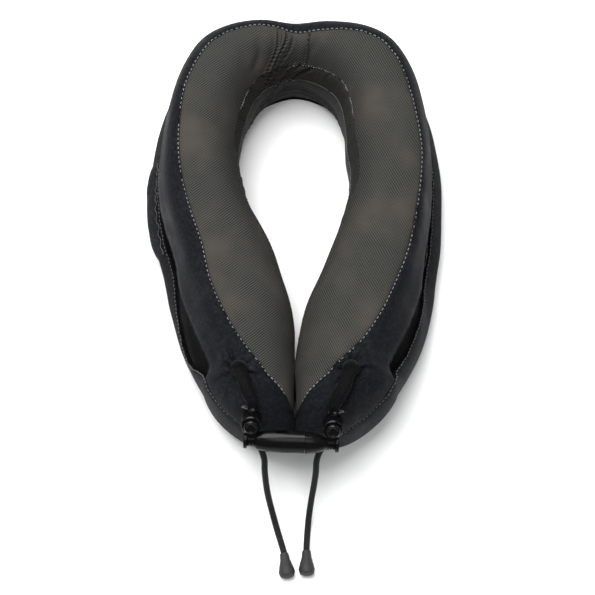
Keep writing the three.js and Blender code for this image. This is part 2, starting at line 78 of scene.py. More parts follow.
class Socket:
    """A node's output. Arithmetic on it adds Math nodes."""

    def __init__(self, shader: "Shader", output: bpy.types.NodeSocket) -> None:
        """Keeps the output and the shader it belongs to."""
        self.shader = shader
        self.output = output

    def __add__(self, other: "Value") -> "Socket":
        """The sum."""
        return self.shader.math("ADD", self, other)

    def __sub__(self, other: "Value") -> "Socket":
        """The difference."""
        return self.shader.math("SUBTRACT", self, other)

    def __rsub__(self, other: "Value") -> "Socket":
        """The difference, from a number."""
        return self.shader.math("SUBTRACT", other, self)

    def __mul__(self, other: "Value") -> "Socket":
        """The product."""
        return self.shader.math("MULTIPLY", self, other)

    def __truediv__(self, other: "Value") -> "Socket":
        """The quotient."""
        return self.shader.math("DIVIDE", self, other)

    __radd__ = __add__
    __rmul__ = __mul__

    def wave(self) -> "Socket":
        """One sine wave for each whole step of the value, from -1 to 1."""
        return self.shader.math("SINE", self * math.tau)

    def ridge(self) -> "Socket":
        """The same wave, from 0 to 1."""
        return self.wave() * 0.5 + 0.5

    def abs(self) -> "Socket":
        """The size without the sign."""
        return self.shader.math("ABSOLUTE", self)

    def max(self, other: "Value") -> "Socket":
        """The larger of the two."""
        return self.shader.math("MAXIMUM", self, other)

    def step(self, low: float, high: float) -> "Socket":
        """A smooth step from 0 at low to 1 at high.

        Args:
            low: the value that gives 0.
            high: the value that gives 1.

        Returns:
            The stepped value.
        """
        settings = {"interpolation_type": "SMOOTHSTEP"}
        values = {"Value": self, "From Min": low, "From Max": high}
        return self.shader.node("ShaderNodeMapRange", settings, values)["Result"]


Value = Socket | float


class Outputs:
    """A node's outputs by name or identifier."""

    def __init__(self, shader: "Shader", node: bpy.types.Node) -> None:
        """Keeps the node and the shader it belongs to."""
        self.shader = shader
        self.node = node

    def __getitem__(self, name: str) -> Socket:
        """The output of that name or identifier.

        Args:
            name: the name.

        Returns:
            The output.
        """
        found = [o for o in self.node.outputs if name in (o.identifier, o.name)]
        exact = [o for o in found if o.identifier == name] or found
        return Socket(self.shader, exact[0])


@dataclass(frozen=True)
class Surface:
    """What a material's surface is like. What is a plain number goes straight on the shader's socket.

    Attributes:
        colour: base colour.
        roughness: how dull it is.
        height: relief in millimetres, or None.
        metallic: 1 for bare metal.
        sheen: strength of the fibres' sheen.
        sheen_roughness: spread of that sheen.
        specular: specular level.
    """

    colour: Socket
    roughness: Value
    height: Socket | None = None
    metallic: float = 0.0
    sheen: float = 0.0
    sheen_roughness: float = 0.4
    specular: float = 0.5


class Shader:
    """Builds one node material."""

    def __init__(self, name: str) -> None:
        """Starts an empty material of that name.

        Args:
            name: the name.
        """
        self.material = bpy.data.materials.new(name)
        self.material.use_nodes = True
        self.tree = self.material.node_tree
        self.tree.nodes.clear()

    def node(self, kind: str, settings: dict | None = None, sockets: dict | None = None) -> Outputs:
        """Adds a node.

        Args:
            kind: the node's type.
            settings: its properties, set first; "stops" gives a ramp's positions and colours.
            sockets: values or links for its inputs, by name or identifier.

        Returns:
            The node's outputs.
        """
        node = self.tree.nodes.new(kind)
        for key, value in (settings or {}).items():
            if key == "stops":
                self._set_stops(node.color_ramp, value)
            else:
                setattr(node, key, value)
        for key, value in (sockets or {}).items():
            self._feed(node, key, value)
        return Outputs(self, node)

    def _feed(self, node: bpy.types.Node, key: str | int, value: object) -> None:
        """Links or sets one input.

        Args:
            node: the node.
            key: the input's name, identifier or index.
            value: a Socket to link, or a plain value.
        """
        if isinstance(key, int):
            target = node.inputs[key]
        else:
            found = [i for i in node.inputs if key in (i.identifier, i.name)]
            target = ([i for i in found if i.identifier == key] or found)[0]
        if isinstance(value, Socket):
            self.tree.links.new(value.output, target)
        else:
            target.default_value = value

    @staticmethod
    def _set_stops(ramp: bpy.types.ColorRamp, stops: Sequence[tuple[float, Colour]]) -> None:
        """Gives a ramp its stops.

        Args:
            ramp: the ramp.
            stops: positions with their colours, two or more.
        """
        while len(ramp.elements) < len(stops):
            ramp.elements.new(0.5)
        for element, (position, colour) in zip(ramp.elements, stops, strict=True):
            element.position = position
            element.color = (*colour, 1.0)

    def math(self, operation: str, a: Value, b: Value | None = None) -> Socket:
        """A Math node.

        Args:
            operation: the node's operation.
            a: the first value.
            b: the second value, where the operation takes one.

        Returns:
            The result.
        """
        values = {0: a} if b is None else {0: a, 1: b}
        return self.node("ShaderNodeMath", {"operation": operation}, values)["Value"]

    def mix(self, factor: Value, a: Socket | Colour, b: Socket | Colour) -> Socket:
        """A colour between a and b.

        Args:
            factor: 0 for a, 1 for b.
            a: the first colour.
            b: the second colour.

        Returns:
            The mixed colour.
        """
        ends = [(*c, 1.0) if isinstance(c, tuple) else c for c in (a, b)]
        sockets = {"Factor_Float": factor, "A_Color": ends[0], "B_Color": ends[1]}
        return self.node("ShaderNodeMix", {"data_type": "RGBA"}, sockets)["Result_Color"]

    def cloth(self) -> tuple[Socket, Socket, Socket]:
        """Millimetres along the cloth, across it, and in from its nearest edge.

        Returns:
            The three values.
        """
        weave = self.node("ShaderNodeAttribute", {"attribute_name": WEAVE})["Vector"]
        parts = self.node("ShaderNodeSeparateXYZ", None, {"Vector": weave})
        return parts["X"], parts["Y"], parts["Z"]

    def place(self) -> Socket:
        """The point on the piece in metres."""
        return self.node("ShaderNodeTexCoord")["Object"]

    def noise(self, size: float, detail: float = 3.0, stretch: Colour | None = None) -> Socket:
        """Noise over the piece.

        Args:
            size: how large its patches are, in millimetres.
            detail: how many finer layers it has.
            stretch: how much tighter it is along each axis.

        Returns:
            Values from about 0 to 1.
        """
        where = self.place()
        if stretch is not None:
            sockets = {"Vector": where, "Scale": stretch}
            where = self.node("ShaderNodeMapping", None, sockets)["Vector"]
        sockets = {"Vector": where, "Scale": 1.0 / (size * MM), "Detail": detail}
        return self.node("ShaderNodeTexNoise", None, sockets)["Fac"]

    def cells(self, size: float) -> Socket:
        """Distance from the middle of round cells of that size in millimetres, over the piece."""
        sockets = {"Vector": self.place(), "Scale": 1.0 / (size * MM)}
        return self.node("ShaderNodeTexVoronoi", None, sockets)["Distance"]

    def finish(self, surface: Surface) -> bpy.types.Material:
        """Ends the material.

        Args:
            surface: what it is like.

        Returns:
            The material.
        """
        sockets = {
            "Base Color": surface.colour,
            "Roughness": surface.roughness,
            "Metallic": surface.metallic,
            "Sheen Weight": surface.sheen,
            "Sheen Roughness": surface.sheen_roughness,
            "Specular IOR Level": surface.specular,
        }
        if surface.height is not None:
            relief = {"Height": surface.height, "Distance": MM, "Strength": 1.0}
            sockets["Normal"] = self.node("ShaderNodeBump", None, relief)["Normal"]
        principled = self.node("ShaderNodeBsdfPrincipled", None, sockets)
        self.node("ShaderNodeOutputMaterial", None, {"Surface": principled["BSDF"]})
        return self.material


@dataclass(frozen=True)
class Finish:
    """A finish that makes its material once.

    Attributes:
        name: the material's name.
        main: the colour of its ribs, loops, yarns or body.
        second: the colour between or down in them, or where it is worn; the cloths also darken towards it
            near their edges as painted shade.
    """

    name: str
    main: Colour
    second: Colour

    def make(self) -> bpy.types.Material:
        """Builds the material."""
        raise NotImplementedError

    def material(self) -> bpy.types.Material:
        """The finish's material, built at its first use."""
        return bpy.data.materials.get(self.name) or self.make()


@dataclass(frozen=True)
class Twill(Finish):
    """Fine twill: diagonal ribs of melange yarn.

    Attributes:
        warm: the colour of faintly warmer patches.
        pitch: from rib to rib along the cloth.
        yarn: from yarn to yarn along a rib.
        relief: height of the ribs.
        seam_width: how wide the painted shade along a seam is.
    """

    warm: Colour
    pitch: float = 1.65
    yarn: float = 1.0
    relief: float = 0.2
    seam_width: float = 0.9

    def make(self) -> bpy.types.Material:
        """Builds the twill.

        Returns:
            The material.
        """
        shader = Shader(self.name)
        over, along, edge = shader.cloth()
        wander = (shader.noise(16.0, 2.0) - 0.5) * 0.9
        rib = (over / self.pitch + wander).ridge()
        yarn = (along / self.yarn + rib * 0.4).ridge()
        fibre = shader.noise(0.8, 4.0)
        clear = 0.55 + 0.45 * shader.noise(11.0, 3.0).step(0.38, 0.58)
        thread = rib * (0.75 + 0.25 * yarn)
        shown = (thread - 0.5) * clear + 0.5
        tone = shader.mix(shown * 0.8 + fibre * 0.35 - 0.08, self.second, self.main)
        tone = shader.mix(shader.noise(38.0, 2.0).step(0.45, 0.75) * 0.5, tone, self.warm)
        # Painted shade: the cloth darkens towards its second colour within a seam's width of each edge.
        tone = shader.mix(0.85 * (1.0 - edge.step(self.seam_width * 0.4, self.seam_width)), tone, self.second)
        height = thread * self.relief + fibre * 0.06
        rough = 0.86 + 0.1 * shader.noise(3.0)
        return shader.finish(Surface(tone, rough, height, specular=0.06))


@dataclass(frozen=True)
class Jersey(Finish):
    """Fine warp-knit jersey with a faint sheen and tiny eyelets between its loops.

    Attributes:
        fleck_and_sheen: a lighter colour for rubbed patches and fibre flecks, partly worn fibre and partly
            painted sheen.
        wale: from loop to loop across the cloth.
        course: from loop to loop along the cloth.
        relief: height of the loops.
    """

    fleck_and_sheen: Colour
    wale: float = 1.7
    course: float = 2.0
    relief: float = 0.2

    def make(self) -> bpy.types.Material:
        """Builds the jersey.

        Returns:
            The material.
        """
        shader = Shader(self.name)
        along, across, edge = shader.cloth()
        lean = (along / self.course).wave() * 0.22
        wales = (across / self.wale + lean).ridge()
        courses = (along / self.course).ridge()
        eyelets = ((1.0 - wales) * (1.0 - courses)).step(0.45, 0.9)
        fibre = shader.noise(0.5, 3.0)
        tone = shader.mix(wales * 0.7 + fibre * 0.3, self.second, self.main)
        tone = shader.mix(eyelets * 0.8, tone, self.second)
        # Lighter patches and flecks: rubbed, worn fibre that also stands in as painted sheen; the rubbed
        # patches are also less rough.
        rubbed = shader.noise(26.0, 4.0).step(0.5, 0.78)
        speckle = shader.noise(2.4, 3.0).step(0.42, 0.72)
        tone = shader.mix(rubbed * 0.3 + speckle * 0.45, tone, self.fleck_and_sheen)
        # Painted shade: the jersey darkens towards its second colour within about a millimetre of each edge.
        tone = shader.mix(0.8 * (1.0 - edge.step(0.4, 1.1)), tone, self.second)
        height = wales * self.relief - eyelets * 0.14 + fibre * 0.04
        rough = 0.62 - rubbed * 0.12 + fibre * 0.1
        return shader.finish(Surface(tone, rough, height, sheen=0.008, sheen_roughness=0.35, specular=0.07))


@dataclass(frozen=True)
class SpacerMesh(Finish):
    """Open spacer mesh with staggered round holes.

    Attributes:
        pitch: from hole to hole.
    """

    pitch: float = 2.6

    def make(self) -> bpy.types.Material:
        """Builds the mesh.

        Returns:
            The material.
        """
        shader = Shader(self.name)
        along, across, _ = shader.cloth()
        first = (along / self.pitch).wave() * (across / self.pitch).wave()
        rib = 1.0 - first.abs().step(0.35, 0.8)
        fibre = shader.noise(0.6, 3.0)
        tone = shader.mix(rib * (0.7 + 0.3 * fibre), self.second, self.main)
        height = rib * 0.5 + fibre * 0.06
        return shader.finish(Surface(tone, 0.82 + 0.12 * fibre, height, specular=0.04))


@dataclass(frozen=True)
class PlainWeave(Finish):
    """Plain woven cloth or tape.

    Attributes:
        pitch: from yarn to yarn.
    """

    pitch: float = 0.9

    def make(self) -> bpy.types.Material:
        """Builds the weave.

        Returns:
            The material.
        """
        shader = Shader(self.name)
        along, across, edge = shader.cloth()
        over = (along / self.pitch).wave() * (across / self.pitch).wave()
        lift = over * 0.5 + 0.5
        fibre = shader.noise(0.5, 3.0)
        tone = shader.mix(lift * 0.7 + fibre * 0.3, self.second, self.main)
        tone = shader.mix(shader.noise(30.0).step(0.5, 0.8) * 0.25, tone, self.main)
        # Painted shade: the weave darkens towards its second colour within 2.5 mm of each edge.
        tone = shader.mix(0.4 * (1.0 - edge.step(0.0, 2.5)), tone, self.second)
        height = lift * 0.12 + fibre * 0.04
        return shader.finish(Surface(tone, 0.8 + 0.15 * fibre, height, sheen=0.03, specular=0.15))


@dataclass(frozen=True)
class Thread(Finish):
    """Twisted sewing thread.

    Attributes:
        twist: length of one turn of a strand.
    """

    twist: float = 0.8

    def make(self) -> bpy.types.Material:
        """Builds the thread.

        Returns:
            The material.
        """
        shader = Shader(self.name)
        along, around, _ = shader.cloth()
        strand = (along / self.twist + around * 2.0).ridge()
        worn = shader.noise(9.0, 3.0).step(0.35, 0.7)
        tone = shader.mix(strand * 0.6 + worn * 0.4, self.second, self.main)
        return shader.finish(Surface(tone, 0.6 + 0.2 * worn, strand * 0.08, sheen=0.1))


@dataclass(frozen=True)
class Braid(Finish):
    """Braided cord: two families of strands that cross.

    Attributes:
        pitch: length of a diamond along the cord.
        strands: strands each way round the cord.
        relief: height of the strands.
    """

    pitch: float = 2.4
    strands: int = 8
    relief: float = 0.22

    def make(self) -> bpy.types.Material:
        """Builds the braid.

        Returns:
            The material.
        """
        shader = Shader(self.name)
        along, around, _ = shader.cloth()
        left = (along / self.pitch + around * float(self.strands)).wave()
        right = (along / self.pitch - around * float(self.strands)).wave()
        lift = left.max(right) * 0.5 + 0.5
        fibre = shader.noise(0.6, 4.0)
        tone = shader.mix(lift * 0.75 + fibre * 0.25, self.second, self.main)
        height = lift * self.relief + fibre * 0.05
        return shader.finish(Surface(tone, 0.7 + 0.2 * fibre, height, sheen=0.04, specular=0.2))


@dataclass(frozen=True)
class Moulded(Finish):
    """Injection-moulded plastic with a fine grain, rubbed places and hairline scratches.

    Attributes:
        rough: its roughness.
        grain: height of the grain.
    """

    rough: float = 0.36
    grain: float = 0.012

    def make(self) -> bpy.types.Material:
        """Builds the plastic.

        Returns:
            The material.
        """
        shader = Shader(self.name)
        grain = shader.noise(0.35, 2.0)
        wear = shader.noise(7.0, 5.0).step(0.52, 0.75)
        scratch = shader.noise(1.1, 2.0, (0.25, 3.0, 3.0)).step(0.66, 0.72)
        tone = shader.mix(wear * 0.5, self.main, self.second)
        tone = shader.mix(scratch * 0.35, tone, self.second)
        height = grain * self.grain - scratch * 0.01
        rough = self.rough + wear * 0.12 + grain * 0.06
        return shader.finish(Surface(tone, rough, height, specular=0.12))


@dataclass(frozen=True)
class OpenFoam(Finish):
    """Open-cell memory foam."""


    def make(self) -> bpy.types.Material:
        """Builds the foam.

        Returns:
            The material.
        """
        shader = Shader(self.name)
        pores = 1.0 - shader.cells(0.9).step(0.1, 0.45)
        patches = shader.noise(24.0, 3.0)
        tone = shader.mix(pores * 0.6 + patches * 0.15, self.main, self.second)
        return shader.finish(Surface(tone, 0.9 + 0.08 * patches, pores * -0.15, sheen=0.1))


@dataclass(frozen=True)
class Metal(Finish):
    """Drawn wire or lacquered die-cast metal.

    Attributes:
        rough: its roughness.
    """

    rough: float = 0.3

    def make(self) -> bpy.types.Material:
        """Builds the metal.

        Returns:
            The material.
        """
        shader = Shader(self.name)
        tarnish = shader.noise(3.0, 4.0).step(0.45, 0.7)
        grain = shader.noise(0.25, 2.0)
        tone = shader.mix(tarnish * 0.6, self.main, self.second)
        rough = self.rough + tarnish * 0.15 + grain * 0.08
        return shader.finish(Surface(tone, rough, grain * 0.01, metallic=1.0))


@dataclass(frozen=True)
class Floor(Finish):
    """Pale matt studio floor."""


    def make(self) -> bpy.types.Material:
        """Builds the floor.

        Returns:
            The material.
        """
        shader = Shader(self.name)
        cloud = shader.noise(900.0, 2.0)
        tone = shader.mix(cloud * 0.3, self.main, self.second)
        return shader.finish(Surface(tone, 0.9 + 0.05 * cloud, specular=0.1))


GREY_TWILL = Twill("grey_twill", (0.062, 0.062, 0.056), (0.007, 0.007, 0.0066), (0.062, 0.053, 0.045))
# The collar is the top panel's twill painted darker, as painted shade inside the neck hole.
SHADED_COLLAR_TWILL = Twill("shaded_collar_twill", (0.042, 0.042, 0.038), (0.006, 0.006, 0.0058), (0.042, 0.036, 0.031))
NAVY_JERSEY = Jersey(
    "navy_jersey", (0.0078, 0.0082, 0.0108), (0.0007, 0.0008, 0.0012), (0.0165, 0.0175, 0.022)
)
BAND_JERSEY = Jersey(
    "band_jersey", (0.0085, 0.0088, 0.0112), (0.0009, 0.0009, 0.0013), (0.018, 0.019, 0.023)
)
POCKET_JERSEY = Jersey(
    "pocket_jersey", (0.011, 0.0115, 0.0142), (0.0012, 0.0012, 0.0018), (0.022, 0.0235, 0.0275)
)
SLEEVE_JERSEY = Jersey(
    "sleeve_jersey", (0.0018, 0.0018, 0.0022), (0.0003, 0.0003, 0.0004), (0.004, 0.0041, 0.0048)
)
BLACK_MESH = SpacerMesh("black_mesh", (0.010, 0.010, 0.0094), (0.0012, 0.0012, 0.0012))
CHANNEL_MESH = SpacerMesh("channel_mesh", (0.0035, 0.0035, 0.0036), (0.0006, 0.0006, 0.0006))
BASE_WEAVE = PlainWeave("base_weave", (0.018, 0.018, 0.02), (0.006, 0.006, 0.007))
ZIP_WEAVE = PlainWeave("zip_weave", (0.02, 0.02, 0.022), (0.007, 0.007, 0.008), 0.6)
PALE_THREAD = Thread("pale_thread", (0.24, 0.245, 0.245), (0.08, 0.08, 0.08))
PIPING_THREAD = Thread("piping_thread", (0.15, 0.15, 0.145), (0.05, 0.05, 0.048))
DULL_THREAD = Thread("dull_thread", (0.1, 0.1, 0.098), (0.03, 0.03, 0.03))
DARK_THREAD = Thread("dark_thread", (0.006, 0.006, 0.006), (0.0015, 0.0015, 0.0015))
LOOP_THREAD = Thread("loop_thread", (0.11, 0.112, 0.115), (0.035, 0.035, 0.036))
CORD_BRAID = Braid("cord_braid", (0.012, 0.012, 0.0125), (0.002, 0.002, 0.002))
BLACK_ACETAL = Moulded("black_acetal", (0.0025, 0.0025, 0.0027), (0.005, 0.005, 0.0055), 0.16)
BUTTON_ACETAL = Moulded("button_acetal", (0.0025, 0.0025, 0.0027), (0.006, 0.006, 0.0065), 0.16)
SOFT_RUBBER = Moulded("soft_plastic", (0.003, 0.003, 0.0033), (0.009, 0.009, 0.0095), 0.42)
EYELET_RUBBER = Moulded("eyelet_rubber", (0.0045, 0.0047, 0.0055), (0.009, 0.0095, 0.011), 0.7)
MEMORY_FOAM = OpenFoam("memory_foam", (0.6, 0.555, 0.46), (0.36, 0.325, 0.26))
SPRING_STEEL = Metal("spring_steel", (0.55, 0.55, 0.56), (0.35, 0.34, 0.33), 0.25)
LACQUERED_ZINC = Metal("lacquered_zinc", (0.09, 0.09, 0.095), (0.04, 0.04, 0.042), 0.38)
STUDIO_FLOOR = Floor("studio_floor", (0.86, 0.86, 0.86), (0.8, 0.8, 0.8))


# ---- meshes ----


class Zone(Enum):
    """A stretch of the ring, by what it moves with."""

    LEFT = "left"
    BACK = "back"
    RIGHT = "right"

    @property
    def side(self) -> float:
        """-1 on the left and 1 on the right."""
        return -1.0 if self is Zone.LEFT else 1.0


LEGS = (Zone.LEFT, Zone.RIGHT)


@dataclass(frozen=True)
class Hinge:
    """How pieces follow the two halves of the ring.

    Attributes:
        reach: how far from the middle plane the stretch of cover at the back reaches.
        depth: where that stretch lies behind the origin.
        height: and above it.
    """

    reach: float = 25.0
    depth: float = 154.0
    height: float = 50.0

    def settle(self, piece: bpy.types.Object, zone: Zone, slot: str, *nodes: str, fill: float = 0.0) -> None:
        """Makes a piece on a leg follow its half, leaves a piece at the back fixed in place, and hides the
        CAD nodes that it stands for.

        Args:
            piece: the finished piece.
            zone: where it lies.
            slot: a material slot's name; not used.
            nodes: the CAD nodes that it stands for.
            fill: how full it is, or 0 where it isn't padded; not used.
        """
        if zone is Zone.BACK:
            start, end = ((x * MM, self.depth * MM, self.height * MM) for x in (-self.reach, self.reach))
            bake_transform(piece)
        else:
            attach(piece, f"{zone.value}_half")
        if nodes:
            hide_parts(*nodes)


HINGE = Hinge()


def unit(vectors: Array) -> Array:
    """Vectors of length 1 along the given ones."""
    length = np.linalg.norm(vectors, axis=-1, keepdims=True)
    return vectors / np.maximum(length, 1e-9)


def placed(name: str, data: bpy.types.ID) -> bpy.types.Object:
    """A new object in the scene.

    Args:
        name: its name.
        data: its mesh, camera or light.

    Returns:
        The object.
    """
    piece = bpy.data.objects.new(name, data)
    bpy.context.scene.collection.objects.link(piece)
    return piece


@dataclass
class Shape:
    """One piece's mesh, in millimetres.

    Attributes:
        points: its points.
        faces: its faces' corners.
        weave: the cloth's own coordinates at each point.
        normals: normals at each point, or None to leave them to the mesh.
    """

    points: Array
    faces: list[tuple[int, ...]]
    weave: Array
    normals: Array | None = None

    def joined(self, other: "Shape") -> "Shape":
        """This shape and another as one.

        Args:
            other: the other shape.

        Returns:
            The joined shape.
        """
        shift = len(self.points)
        faces = self.faces + [tuple(i + shift for i in f) for f in other.faces]
        points = np.vstack([self.points, other.points])
        return Shape(points, faces, np.vstack([self.weave, other.weave]))

    def to_object(self, name: str, finish: Finish) -> bpy.types.Object:
        """Makes the Blender object.

        Args:
            name: the object's name.
            finish: its finish.

        Returns:
            The object, in place.
        """
        mesh = bpy.data.meshes.new(name)
        mesh.from_pydata((self.points * MM).tolist(), [], self.faces)
        layer = mesh.attributes.new(WEAVE, "FLOAT_VECTOR", "POINT")
        layer.data.foreach_set("vector", self.weave.astype(np.float32).ravel())
        mesh.polygons.foreach_set("use_smooth", [True] * len(mesh.polygons))
        mesh.materials.append(finish.material())
        if self.normals is not None:
            mesh.normals_split_custom_set_from_vertices(self.normals.tolist())
        mesh.update()
        return placed(name, mesh)


def smooth(values: Array, low: float | Array, high: float | Array) -> Array:
    """A smooth step from 0 at low to 1 at high."""
    t = np.clip((values - low) / (high - low), 0.0, 1.0)
    return t * t * (3 - 2 * t)


def closed_faces(rows: int, columns: int) -> list[tuple[int, ...]]:
    """Faces of a grid whose rows close on themselves, with a face over each end.

    Args:
        rows: how many rows of points.
        columns: how many points in a row.

    Returns:
        The faces' corners.
    """
    last = (rows - 1) * columns
    ends = [tuple(reversed(range(columns))), tuple(range(last, last + columns))]
    return grid_faces(rows, columns, wrapped=True) + ends


def plateau(values: Array, ends: Sequence[float]) -> Array:
    """A smooth step from 0 up to 1 and down again, between four ends."""
    return smooth(values, ends[0], ends[1]) * (1 - smooth(values, ends[2], ends[3]))


def grid_faces(rows: int, columns: int, wrapped: bool = False) -> list[tuple[int, ...]]:
    """Faces of a grid of points.

    Args:
        rows: how many rows of points.
        columns: how many points in a row.
        wrapped: whether each row closes on itself.

    Returns:
        The faces' corners.
    """
    last = columns if wrapped else columns - 1
    faces = []
    for near in range(0, (rows - 1) * columns, columns):
        far = near + columns
        for j in range(last):
            after = (j + 1) % columns
            faces.append((near + j, near + after, far + after, far + j))
    return faces


def distances(points: Array) -> Array:
    """How far along a line each of its points lies."""
    steps = np.linalg.norm(np.diff(points, axis=0), axis=1)
    return np.concatenate([[0.0], np.cumsum(steps)])


def resampled(line: Array, values: Array, at: Array) -> Array:
    """Values given at a line's points, at given distances along the line."""
    along = distances(line)
    return np.stack([np.interp(at, along, column) for column in values.T], axis=1)


def smooth_line(points: Array, steps: int) -> Array:
    """A smooth line through points, even where they are unevenly spaced.

    Args:
        points: the points that it passes through.
        steps: how many steps it takes from each point to the next.

    Returns:
        The line's points.
    """
    p = np.vstack([2 * points[0] - points[1], points, 2 * points[-1] - points[-2]])
    line = []
    for i in range(1, len(p) - 2):
        gaps = [math.sqrt(np.linalg.norm(p[i + k] - p[i + k - 1])) for k in range(3)]
        k0, k1, k2, k3 = np.concatenate([[0.0], np.cumsum(gaps)])
        t = np.linspace(k1, k2, steps, endpoint=False)[:, None]
        a1 = ((k1 - t) * p[i - 1] + (t - k0) * p[i]) / (k1 - k0)
        a2 = ((k2 - t) * p[i] + (t - k1) * p[i + 1]) / (k2 - k1)
        a3 = ((k3 - t) * p[i + 1] + (t - k2) * p[i + 2]) / (k3 - k2)
        b1 = ((k2 - t) * a1 + (t - k0) * a2) / (k2 - k0)
        b2 = ((k3 - t) * a2 + (t - k1) * a3) / (k3 - k1)
        line.append(((k2 - t) * b1 + (t - k1) * b2) / (k2 - k1))
    return np.vstack([*line, points[-1:]])


def round_weave(along: Array, turn: Array) -> Array:
    """Cloth coordinates of a round piece, far from any edge."""
    along, turn = np.broadcast_arrays(along[:, None], turn[None, :])
    return np.stack([along, turn, np.full(along.shape, EDGELESS)], axis=-1)


@dataclass
class Tube:
    """A round or oval tube along a line, closed at both ends.

    Attributes:
        line: its centreline.
        wide: half its width, a number or one for each point.
        thick: half its thickness, likewise, or None for a round tube.
        sides: points round it.
        level: the direction that its width keeps to, or None.
        ripple: what the radius is multiplied by, from the distance along and the turn round it.
    """

    line: Array
    wide: float | Array
    thick: float | Array | None = None
    sides: int = 12
    level: tuple[float, float, float] | None = None
    ripple: Callable[[Array, Array], Array] | None = None

    def shape(self) -> Shape:
        """The tube's points and faces.

        Returns:
            The shape.
        """
        line = np.asarray(self.line, float)
        count = len(line)
        tangents = unit(np.gradient(line, axis=0))
        across = self._across(tangents)
        up = np.cross(tangents, across)
        turn = np.linspace(0, 1, self.sides, endpoint=False)
        angle = turn * math.tau
        along = distances(line)
        wide = np.broadcast_to(np.asarray(self.wide, float), (count,))[:, None]
        thick = wide
        if self.thick is not None:
            thick = np.broadcast_to(np.asarray(self.thick, float), (count,))[:, None]
        swell = np.ones((count, self.sides))
        if self.ripple is not None:
            swell = self.ripple(along[:, None], turn[None, :])
        a = (wide * np.cos(angle)[None, :] * swell)[..., None] * across[:, None, :]
        b = (thick * np.sin(angle)[None, :] * swell)[..., None] * up[:, None, :]
        points = (line[:, None, :] + a + b).reshape(-1, 3)
        weave = round_weave(along, turn)
        return Shape(points, closed_faces(count, self.sides), weave.reshape(-1, 3))

    def _across(self, tangents: Array) -> Array:
        """The direction of the tube's width at each point.

        Args:
            tangents: the line's directions.

        Returns:
            The directions.
        """
        if self.level is not None:
            level = np.broadcast_to(np.array(self.level, float), tangents.shape)
            return unit(level - tangents * np.sum(level * tangents, axis=1, keepdims=True))
        first = np.cross(tangents[0], (0.0, 0.0, 1.0))
        if np.linalg.norm(first) < 0.1:
            first = np.cross(tangents[0], (1.0, 0.0, 0.0))
        across = [unit(first)]
        for tangent in tangents[1:]:
            across.append(unit(across[-1] - tangent * np.dot(across[-1], tangent)))
        return np.array(across)


# ---- the ring's surface ----


@dataclass(frozen=True)
class Station:
    """One cross-section of each half of the ring, seen from above.

    Attributes:
        inner: its point at the neck hole.
        outer: its point outside.
        height: how tall it is.
        inner_lean: how far its inner point lies towards +X.
        lean: how far its outer point lies towards +X.
    """

    inner: tuple[float, float]
    outer: tuple[float, float]
    height: float
    inner_lean: float = 0.0
    lean: float = 0.0


STATIONS = (
    Station((0, 136), (0, 172.3), 91),
    Station((14, 131), (28, 172.4), 97),
    Station((26, 121), (55, 167.5), 103),
    Station((34, 107), (77, 155), 107),
    Station((39, 88), (93, 133), 108, -1),
    Station((41, 68), (103, 105), 108, -2),
    Station((41, 50), (109, 70), 106, 0, 1),
    Station((37, 29), (110, 37), 103, 2, 1),
    Station((28, 6), (107, 8), 100, 4, 2),
    Station((17, -20), (101, -20), 97, 4.5, 4),
    Station((6.5, -48), (97.5, -48), 94, 3, 4.5),
    Station((1.2, -76), (90.5, -76), 91, 1.5, 5),
    Station((0.6, -100), (81, -100), 88, 0, 4.5),
    Station((0.6, -116), (72, -116), 85, 0, 4),
)
LAST = len(STATIONS) - 1


def level(angle: float) -> Callable[[Array], Array]:
    """The same angle at every station."""
    return lambda stations: np.full_like(stations, angle)


def along_ring(left: Sequence[float], right: Sequence[float]) -> Array:
    """A value for every station from the left leg round the back to the right leg."""
    return np.array([*reversed(left[1:]), *right], float)


def splined(values: Array, stations: Array) -> Array:
    """A smooth value between stations, from -LAST to LAST.

    Args:
        values: one for each station, from along_ring.
        stations: where it is wanted.

    Returns:
        The values there.
    """
    x = np.clip(stations + LAST, 0, 2 * LAST)
    i = np.minimum(np.floor(x).astype(int), 2 * LAST - 1)
    f = x - i
    v = np.concatenate([[2 * values[0] - values[1]], values, [2 * values[-1] - values[-2]]])
    a, b, c, d = (v[i + k] for k in range(4))
    return 0.5 * (2 * b + (c - a) * f + (2 * a - 5 * b + 4 * c - d) * f**2 + (3 * b - a - 3 * c + d) * f**3)


